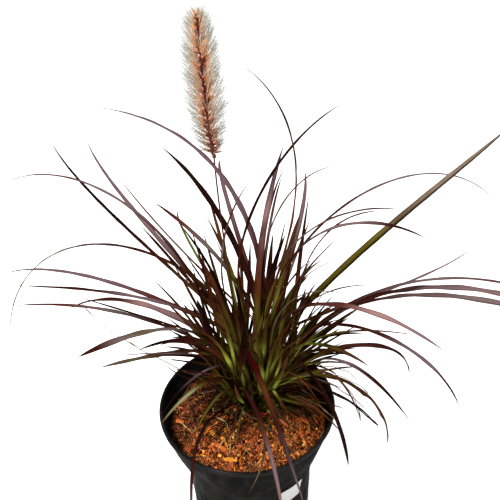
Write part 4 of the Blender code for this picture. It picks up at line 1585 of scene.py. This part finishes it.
@dataclass(frozen=True)
class Crown:
    """The shoots, the blades that can be told apart, and the thin and short blades between them."""

    seed: int = 21
    shoot_sink: float = 0.0015
    shoot_joints: Pair = (0.28, 0.62)
    rib_height: float = 0.05

    # Seeds of the first thin and of the first short blade; blades with solids have 1 to 42.
    first_thin: ClassVar[int] = 100
    first_short: ClassVar[int] = 200

    def build_shoots(self, workshop: Workshop) -> None:
        """Makes each shoot: a ribbed taper, swollen at two joints and drawn in at the top."""
        share = np.linspace(0, 1, 34)
        turns = 2 * np.pi * np.arange(20) / 20
        ribs = 1 + self.rib_height * np.cos(turns * 10)
        joints = swelling(share, self.shoot_joints, 0.1, 0.02)
        drawn_in = 1 - 0.35 * ease((share - 0.9) / 0.1)
        stops = "0 UMBER, 0.2 MOSS, 0.5 OLIVE, 0.8 MOSS, 1 MAROON"
        for number, shoot in enumerate(SHOOTS, 1):
            foot, axis = shoot.axis()
            side = unit(np.cross(axis, [0.0, 1.0, 0.0]))
            radius = shoot.radius(share) * (1 + joints) * drawn_in
            route = foot + axis * (shoot.length * share - self.shoot_sink)[:, None]
            spokes = fanned(turns, side, np.cross(axis, side))
            rings = route[:, None] + (radius[:, None] * ribs)[..., None] * spokes
            lie = laid(rings, np.cos(turns), share[:, None], number)
            shape = shells(rings[None], colour_along(stops, share)[None, :, None], lie[None])
            workshop.piece(f"sheathed_shoot_{number:02d}", shape, "sheath", f"shoot_{number:02d}")

    def build_leaves(self, workshop: Workshop) -> None:
        """Makes each blade that has a solid of its own."""
        for number, leaf in enumerate(LEAVES, 1):
            shape = leaf.shape(number, rows=56, sheath_rows=9, section=SECTION)
            workshop.piece(f"blade_{number:02d}", shape, leaf.look.slot, f"leaf_{number:02d}")

    def build_thin_leaves(self, workshop: Workshop) -> None:
        """Makes the blades that are too thin for solids of their own, in one piece."""
        shapes = [leaf.shape(number, rows=36, sheath_rows=5, section=SECTION)
                  for number, leaf in enumerate(THIN_LEAVES, self.first_thin)]
        workshop.piece("thin_blades", Shape.joined(shapes), "leaf_mauve")

    def build_stalks(self, workshop: Workshop) -> None:
        """Makes the dead stalks: tubes that thin out, with a bell-shaped swelling at each joint."""
        share = np.linspace(0, 1, 70)
        shapes = []
        for number, stalk in enumerate(STALKS):
            joints = swelling(share, stalk.joints, 1.3, 0.022)
            radius = stalk.radius * (1 - 0.55 * share) * (1 + joints)
            route = stalk.path.spine(len(share))
            route[:, 2] += 0.0007 * np.sin(share * 31 + number)
            tint = colour_along(stalk.path.look.stops, share)
            shapes.append(tubes(route[None], radius[None], tint[None], 8, number))
        workshop.piece("dead_stalks", Shape.joined(shapes), "leaf_brown", sharp=70)

    def build_fill(self, workshop: Workshop) -> None:
        """Makes the families of short blades, with sizes drawn evenly from each family's spreads."""
        draw = np.random.default_rng(self.seed)
        for family in FAMILIES:
            shapes = []
            for number in range(family.count):
                shoot = family.shoots[number % len(family.shoots)]
                heading = SHOOTS[shoot - 1].azimuth + draw.normal(0, family.swing)
                leaf = Blade(
                    shoot, draw.uniform(*family.height), heading, draw.uniform(*family.rise),
                    draw.uniform(*family.fall), draw.uniform(0.8, 1.8), draw.uniform(*family.length),
                    draw.normal(0, 10), draw.uniform(*family.width),
                    family.looks[draw.choice(len(family.looks), p=family.shares)],
                    taper=draw.uniform(2.2, 6.0))
                seed = self.first_short + number
                shapes.append(leaf.shape(seed, rows=22, sheath_rows=4, section=FINE_SECTION))
            workshop.piece(family.name, Shape.joined(shapes), "leaf_green")

    def build(self, workshop: Workshop) -> None:
        """Makes the whole clump."""
        self.build_shoots(workshop)
        self.build_leaves(workshop)
        self.build_thin_leaves(workshop)
        self.build_stalks(workshop)
        self.build_fill(workshop)


@dataclass(frozen=True)
class Flower:
    """The flower stem and the bottlebrush plume on it.

    The plume is rows of clusters up the rachis. Each cluster is one husk and a few long bristles.
    """

    stem_length: float = 0.256
    stem_rise: float = 82.2
    stem_tip_rise: float = 88.8
    stem_bend: float = 1.5
    stem_radius: float = 0.00085
    plume_length: float = 0.111
    plume_radius: float = 0.0178
    plume_lean: float = 2.4
    bow: float = 0.0013
    lift: float = 0.08
    rows: int = 32
    clusters: int = 10
    bristles: int = 6
    fan: float = 1.4
    root_gap: float = 0.0006
    first_row: float = 0.022
    row_span: float = 0.908
    husk_length: Pair = (0.0056, 0.0076)
    bristle_length: Pair = (0.003, 0.027)
    bristle_spread: float = 0.14
    seed: int = 31
    outline: tuple[Pair, ...] = (
        (0.0, 0.2), (0.06, 0.62), (0.13, 0.88), (0.28, 0.98), (0.42, 1.0), (0.55, 1.0), (0.74, 0.86),
        (0.84, 0.73), (0.92, 0.6), (0.97, 0.42), (1.0, 0.15))
    rises: tuple[Pair, ...] = (
        (0.0, 22.0), (0.1, 28.0), (0.28, 40.0), (0.7, 46.0), (0.9, 62.0), (1.0, 84.0))

    def stem_route(self, points: int) -> Array:
        """The stem's centre line: its slope eases from the foot's rise to the tip's."""
        along = np.linspace(0, 1, points)
        middle = 0.5 * (along[1:] + along[:-1])
        slope = np.radians(self.stem_rise + (self.stem_tip_rise - self.stem_rise) * middle**self.stem_bend)
        steps = np.stack([-np.cos(slope), 0 * slope, np.sin(slope)], 1) * self.stem_length / (points - 1)
        start = np.array([*CROWN, SOIL_TOP + TOUCH_GAP])
        return start + np.vstack([np.zeros(3), np.cumsum(steps, axis=0)])

    def ways(self) -> tuple[Array, Array, Array]:
        """Unit directions up the plume, to its right, and square to both."""
        lean = np.radians(self.plume_lean)
        up = np.array([-np.sin(lean), 0.0, np.cos(lean)])
        side = np.array([np.cos(lean), 0.0, np.sin(lean)])
        return up, side, np.cross(up, side)

    def rachis(self, height: Array) -> Array:
        """Points up the plume's middle: a straight line bowed to the left by half a sine."""
        up, side, _ = self.ways()
        foot = self.stem_route(12)[-1] + [0.0, 0.0, 2 * TOUCH_GAP]
        bow = self.bow * np.sin(np.pi * np.clip(height, 0, 1) ** 0.8)
        return foot + up * (self.plume_length * height)[..., None] - side * bow[..., None]

    def envelope(self, height: Array) -> Array:
        """The plume's radius at a share of its length."""
        heights, shares = np.array(self.outline).T
        return self.plume_radius * np.interp(height, heights, shares)

    def cluster_places(self, draw: Draw) -> tuple[Array, Array, Array]:
        """Where the clusters sit: rows at equal steps, fanned out to the left and to the right.

        Args:
            draw: where the random numbers come from.

        Returns:
            Share of the length, way out of the rachis, and rise above square in radians.
        """
        count = self.rows * self.clusters
        row, number = np.divmod(np.arange(count), self.clusters)
        height = self.first_row + self.row_span * (row + 0.5) / self.rows + draw.normal(0, 0.004, count)
        swing = draw.uniform(-1, 1, count)
        turn = np.pi * (number % 2) + self.fan * np.sign(swing) * np.abs(swing) ** 1.3
        _, side, other = self.ways()
        outward = fanned(turn, side, other)
        heights, degrees = np.array(self.rises).T
        rise = np.radians(np.interp(height, heights, degrees) + draw.normal(0, 5, count))
        return height, outward, rise

    def build_stem(self, workshop: Workshop) -> None:
        """Makes the stem: a fine tube, swollen at two joints and thinner above each."""
        share = np.linspace(0, 1, 90)
        route = self.stem_route(len(share))
        joints = swelling(share, (0.34, 0.63), 0.45, 0.008)
        radius = self.stem_radius * (1.15 - 0.45 * share + joints)
        stops = "0 OLIVE, 0.3 MOSS, 0.6 UMBER, 0.8 MAROON, 1 MAROON"
        shape = tubes(route[None], radius[None], colour_along(stops, share)[None], 12)
        workshop.piece("flowering_stem", shape, "stem", "flower_stem")

    def build_husks(self, workshop: Workshop) -> None:
        """Makes the rachis, a zigzag tube, and the husks: tubes that swell past the middle."""
        share = np.linspace(0, 1, 120)
        up, side, _ = self.ways()
        zigzag = 0.0004 * np.sin(np.pi * share * self.rows)
        core = self.rachis(0.91 * share) + side * zigzag[:, None]
        dark = colour_along("0 WINE, 0.2 OXBLOOD, 1 OXBLOOD", share)
        shapes = [tubes(core[None], (0.0015 - 0.00095 * share)[None], dark[None], 8)]

        draw = np.random.default_rng(self.seed)
        height, outward, rise = self.cluster_places(draw)
        count = len(height)
        along = np.linspace(0, 1, 8)
        length = draw.uniform(*self.husk_length, count) * self.turned_away(outward)
        length = length * (1 - 0.5 * ease((height - 0.8) / 0.15))
        root = self.rachis(height) + outward * self.root_gap
        route = root[:, None] + fanned(rise, outward, up)[:, None] * (length[:, None] * along)[..., None]
        swell = 0.00016 + 0.00044 * np.sin(np.pi * along**1.4) ** 1.1
        husk = "0 OXBLOOD, 0.45 OXBLOOD, 0.7 PEACH, 1 PEACH"
        tint = colour_along(husk, along)[None] * draw.uniform(0.4, 1.0, (count, 1, 1))
        tint = tint * self.foot_darkening(height)
        radii = np.broadcast_to(swell, route.shape[:2])
        shapes.append(tubes(route, radii, tint, 6, draw.uniform(0, 1, count)))
        workshop.piece("plume_spikelets", Shape.joined(shapes), "plume", "plume", sharp=70)

    def turned_away(self, outward: Array) -> Array:
        """Shorter clusters before and behind the rachis than beside it, as a share of full length."""
        _, _, other = self.ways()
        return 1.0 - 0.45 * ease((np.abs(outward @ other) - 0.55) / 0.4)

    @staticmethod
    def foot_darkening(height: Array) -> Array:
        """A factor on each cluster's colour: half at the plume's foot, rising to full from about a third of
        the way up.
        """
        return (0.5 + 0.5 * ease(height / 0.35))[:, None, None]

    def build_bristles(self, workshop: Workshop) -> None:
        """Makes the bristles: needles that leave each cluster in a tuft and bend a little upwards.

        A needle's point at a share of its length is the root, plus its way times that share, plus
        its upward bend times the share squared. It is up to as long as still fits the outline.
        """
        draw = np.random.default_rng(self.seed)
        places = self.cluster_places(draw)
        height, outward, rise = (np.repeat(values, self.bristles, 0) for values in places)
        count = len(height)
        up, right, _ = self.ways()
        spread = draw.normal(0, self.bristle_spread, (count, 2))
        beside = np.cross(up, outward)
        way = unit(fanned(rise + spread[:, 0], outward, up) + beside * spread[:, 1:])
        climb = way @ up
        level = np.sqrt(1.0001 - climb**2)
        trial = np.linspace(*self.bristle_length, 49)
        tip = height[:, None] + (climb[:, None] + self.lift) * trial / self.plume_length
        slim = 1 - 0.35 * np.clip(outward @ right, 0, 1)[:, None] * (1 - ease(tip / 0.4))
        narrow = level[:, None] * trial < self.envelope(tip) * slim
        fits = narrow & (tip < draw.uniform(0.93, 0.99, (count, 1)))
        length = trial[fits.cumprod(1).sum(1).clip(1) - 1] * draw.uniform(0.5, 1.0, count) ** 0.55
        share = np.array([0.0, 0.25, 0.5, 0.75, 1.0])
        run = (length[:, None] * share)[..., None]
        bend = (length[:, None] * self.lift * share**2)[..., None]
        route = (self.rachis(height) + outward * self.root_gap)[:, None] + way[:, None] * run + up * bend
        radius = draw.uniform(0.00009, 0.00014, count)[:, None] * np.array([1.0, 1.0, 0.9, 0.75, 0.5])
        stops = "0 OXBLOOD, 0.1 RUST, 0.22 PEACH, 0.36 GOLD, 0.52 SILVER, 1 SILVER"
        away = 0.3 * share + 0.7 * share * (length * level / self.envelope(height + 0.08))[:, None]
        away += 0.2 * share * (1 - ease(height / 0.4))[:, None]
        # Bristles are darkened near the rachis at the plume's foot.
        deep = 1 - (1 - self.foot_darkening(height)) * np.clip(1 - away, 0, 1)[..., None]
        tint = colour_along(stops, away) * draw.uniform(0.5, 1.3, (count, 1, 1)) * deep
        bristles = tubes(route, radius, tint, 4, draw.uniform(0, 1, count))
        workshop.piece("plume_bristles", bristles, "plume", sharp=100)

    def build(self, workshop: Workshop) -> None:
        """Makes the stem, the husks on their rachis, and the bristles."""
        self.build_stem(workshop)
        self.build_husks(workshop)
        self.build_bristles(workshop)


@dataclass(frozen=True)
class FallenLeaf:
    """A short red strip lying on the soil at the clump's foot."""

    route: tuple[Pair, ...] = (
        (0.0119, -0.0028), (0.017, -0.0062), (0.0221, -0.0094), (0.0286, -0.013),
        (0.035, -0.0196), (0.041, -0.0262))
    width: float = 0.0026
    lift: float = 0.0012
    arch: float = 0.0014

    def build(self, workshop: Workshop) -> None:
        """Makes the strip: a blade's section carried along the route, its ends drawn in."""
        route = smooth_outline(self.route, 8)
        share = np.linspace(0, 1, len(route))
        forward = unit(np.gradient(route, axis=0))
        sideways = np.stack([-forward[:, 1], forward[:, 0], share * 0], 1)
        half = self.width / 2 * (1 - 0.75 * np.abs(2 * share - 1) ** 3)
        height = SOIL_TOP + self.lift + self.arch * np.sin(3 * share) ** 2
        spine = np.concatenate([route, height[:, None]], 1)
        upright = np.array([0.0, 0.0, 1.0])
        rings = carried(spine, sideways, upright, share * 0, *SECTION.offsets(half))
        lie = laid(rings, SECTION.places()[0], share[:, None], 0.0)
        stops = "0 SCARLET, 0.35 SCARLET, 0.55 CORAL, 1 CORAL"
        shape = shells(rings[None], colour_along(stops, share)[None, :, None], lie[None])
        workshop.piece("red_fallen_leaf", shape, "fallen", "fallen_leaf")


@dataclass(frozen=True)
class DryLitter:
    """Dead thin leaves that hang from the clump's foot and lie on the soil, thickest at both sides."""

    bed: SoilBed
    strips: int = 230
    start: Pair = (0.008, 0.036)
    length: Pair = (0.02, 0.056)
    half_width: Pair = (0.0003, 0.0009)
    arch: Pair = (0.001, 0.007)
    hang: float = 0.03
    lift: float = 0.0016
    seed: int = 41

    def build(self, workshop: Workshop) -> None:
        """Makes the strips: each starts near the crown, wanders outwards and comes down to the soil.

        Its height above the soil is a start height times a power of what is left of its length,
        plus a low arch.
        """
        draw, count = np.random.default_rng(self.seed), self.strips
        share = np.linspace(0, 1, 14)
        side = draw.choice(3, count, p=[0.5, 0.34, 0.16])
        stray = draw.normal(0, 1, count) * np.array([0.6, 0.55, 0.9])[side]
        angle = np.array([-0.1, 3.45, 1.6])[side] + stray
        start = draw.uniform(*self.start, count)
        heading = angle[:, None] + draw.normal(0, 0.8, count)[:, None]
        heading = heading + draw.normal(0, 0.9, count)[:, None] * share
        length = draw.uniform(*self.length, count)
        spine = self.bed.routes(CROWN[0] + start * np.cos(angle), CROWN[1] + start * np.sin(angle),
                                heading, length, 0.002)
        arch = draw.uniform(*self.arch, count)[:, None] * np.sin(np.pi * share) ** 2
        hang = draw.uniform(0, self.hang, count)[:, None] * (start < 0.022)[:, None] * (1 - share) ** 1.7
        spine[..., 2] = self.bed.height(spine[..., 0], spine[..., 1]) + self.lift + arch + hang
        forward = unit(np.gradient(spine, axis=1))
        sideways = unit(np.stack([-forward[..., 1], forward[..., 0], forward[..., 0] * 0], -1))
        roll = draw.uniform(-0.9, 0.9, count)[:, None] + 1.2 * share
        half = draw.uniform(*self.half_width, count)[:, None] * (1 - 0.9 * np.abs(2 * share - 1) ** 5)
        offsets = FINE_SECTION.offsets(half)
        rings = carried(spine, sideways, np.cross(forward, sideways), roll, *offsets)
        palette = pigments("UMBER TAN DUSK PEAT OLIVE".split())
        pick = draw.choice(len(palette), count, p=[0.36, 0.12, 0.12, 0.24, 0.16])
        number = draw.uniform(0, 9, count)[:, None, None]
        lie = laid(rings, FINE_SECTION.places()[0], share[:, None] * 0.3, number)
        tint = palette[pick][:, None, None] * draw.uniform(0.6, 1.2, (count, 1, 1, 1))
        workshop.piece("dry_litter", shells(rings, tint, lie), "leaf_brown")


@dataclass(frozen=True)
class Studio:
    """A plain pale floor, soft light, and the camera where the photographer stood."""

    place: Triple = (0.009, -0.4027, 0.5925)
    pitch: float = 32.35
    roll: float = -2.443
    focal: float = 43.2
    sensor: float = 36.0
    glow: float = 0.62
    brightness: float = 1.15
    floor_half: float = 6.0
    floor_tiles: int = 24
    floor_drop: float = 0.0002

    def build_camera(self) -> None:
        """Makes the camera: level and facing +Y, tipped down by the pitch, then rolled."""
        pitch, roll = np.radians(self.pitch), np.radians(self.roll)
        forward = np.array([0.0, np.cos(pitch), -np.sin(pitch)])
        level = np.array([1.0, 0.0, 0.0])
        upright = np.array([0.0, np.sin(pitch), np.cos(pitch)])
        right = fanned(roll, level, upright)
        up = fanned(roll, upright, -level)
        camera = bpy.data.objects.new("camera", bpy.data.cameras.new("camera"))
        camera.data.sensor_width = self.sensor
        camera.data.lens = self.focal
        camera.data.clip_start = 0.01
        turn = Matrix(np.stack([right, up, -forward], 1).tolist()).to_4x4()
        camera.matrix_world = Matrix.Translation(Vector(self.place)) @ turn
        bpy.context.scene.collection.objects.link(camera)
        bpy.context.scene.camera = camera

    def build_light(self, name: str, place: Triple, size: float, watts: float, colour: Triple) -> None:
        """Makes a square lamp that faces the middle of the clump."""
        lamp = bpy.data.lights.new(name, "AREA")
        lamp.size = size
        lamp.energy = watts
        lamp.color = colour
        light = bpy.data.objects.new(name, lamp)
        light.location = place
        light.rotation_mode = "QUATERNION"
        light.rotation_quaternion = (Vector((0.0, 0.0, 0.2)) - Vector(place)).to_track_quat("-Z", "Y")
        bpy.context.scene.collection.objects.link(light)

    def build_world(self) -> None:
        """Makes the even white surround, brighter to look at than the light it gives."""
        world = bpy.data.worlds.new("surround")
        world.use_nodes = True
        graph = Graph(world.node_tree)
        seen = graph.add("ShaderNodeLightPath").outputs["Is Camera Ray"]
        strength = graph.span(seen, 0.0, 1.0, self.glow, self.brightness)
        graph.wire(world.node_tree.nodes["Background"], {"Color": WHITE, "Strength": strength})
        bpy.context.scene.world = world
        bpy.context.scene.view_settings.view_transform = "Standard"

    def build_floor(self, workshop: Workshop) -> None:
        """Makes the floor: a flat grid, wide enough to fill every view."""
        count = self.floor_tiles + 1
        steps = np.linspace(-self.floor_half, self.floor_half, count)
        x, y = np.meshgrid(steps, steps)
        points = np.stack([x.ravel(), y.ravel(), np.full(x.size, -self.floor_drop)], 1)
        row, column = np.meshgrid(np.arange(self.floor_tiles), np.arange(self.floor_tiles), indexing="ij")
        here = (row * count + column).ravel()
        quads = np.stack([here, here + 1, here + count + 1, here + count], 1)
        shape = Shape(points, quads, np.zeros((0, 3), int), np.ones(points.shape), np.zeros(points.shape))
        floor = bpy.data.objects.new("floor", shape.mesh("floor", 30))
        floor.data.materials.append(FloorFinish("floor").material(workshop.effects))
        bpy.context.scene.collection.objects.link(floor)

    def build(self, workshop: Workshop) -> None:
        """Makes the floor, the lights, the surround and the camera."""
        self.build_camera()
        self.build_world()
        self.build_light("key", (-0.6, -0.75, 1.65), 0.4, 52.0, (1.0, 0.985, 0.955))
        self.build_light("fill", (1.2, -0.6, 0.9), 1.2, 12.0, (0.95, 0.97, 1.0))
        self.build_floor(workshop)
        LOG.info("studio: camera, surround, two lamps and a floor")


FINISHES: tuple[Finish, ...] = (
    PlasticFinish("pot"),
    EarthFinish("soil"),
    LabelFinish("label"),
    LeafFinish("sheath", veins=0.35, blotches=0.5, rib=0.0),
    LeafFinish("stem", veins=0.15, rib=0.0),
    BristleFinish("plume"),
    LeafFinish("fallen", veins=0.2, blotches=0.3),
    LeafFinish("leaf_black"),
    LeafFinish("leaf_maroon", veins=0.3, blotches=0.5),
    LeafFinish("leaf_mauve", veins=0.45),
    LeafFinish("leaf_red"),
    LeafFinish("leaf_brown", veins=0.35, blotches=0.6),
    LeafFinish("leaf_tan", veins=0.35, blotches=0.6),
    LeafFinish("leaf_green", veins=0.3, blotches=0.5),
)


def main() -> None:
    """Builds the pot, the plant and the studio in order."""
    logging.basicConfig(level=logging.INFO, format="%(name)s: %(message)s")
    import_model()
    workshop = Workshop(FINISHES)
    pot = Pot()
    bed = SoilBed(pot)
    pot.build(workshop)
    Label(pot).build(workshop)
    bed.build(workshop)
    SoilDressing(bed).build(workshop)
    Crown().build(workshop)
    Flower().build(workshop)
    FallenLeaf().build(workshop)
    DryLitter(bed).build(workshop)
    Studio().build(workshop)


if __name__ == "__main__":
    main()
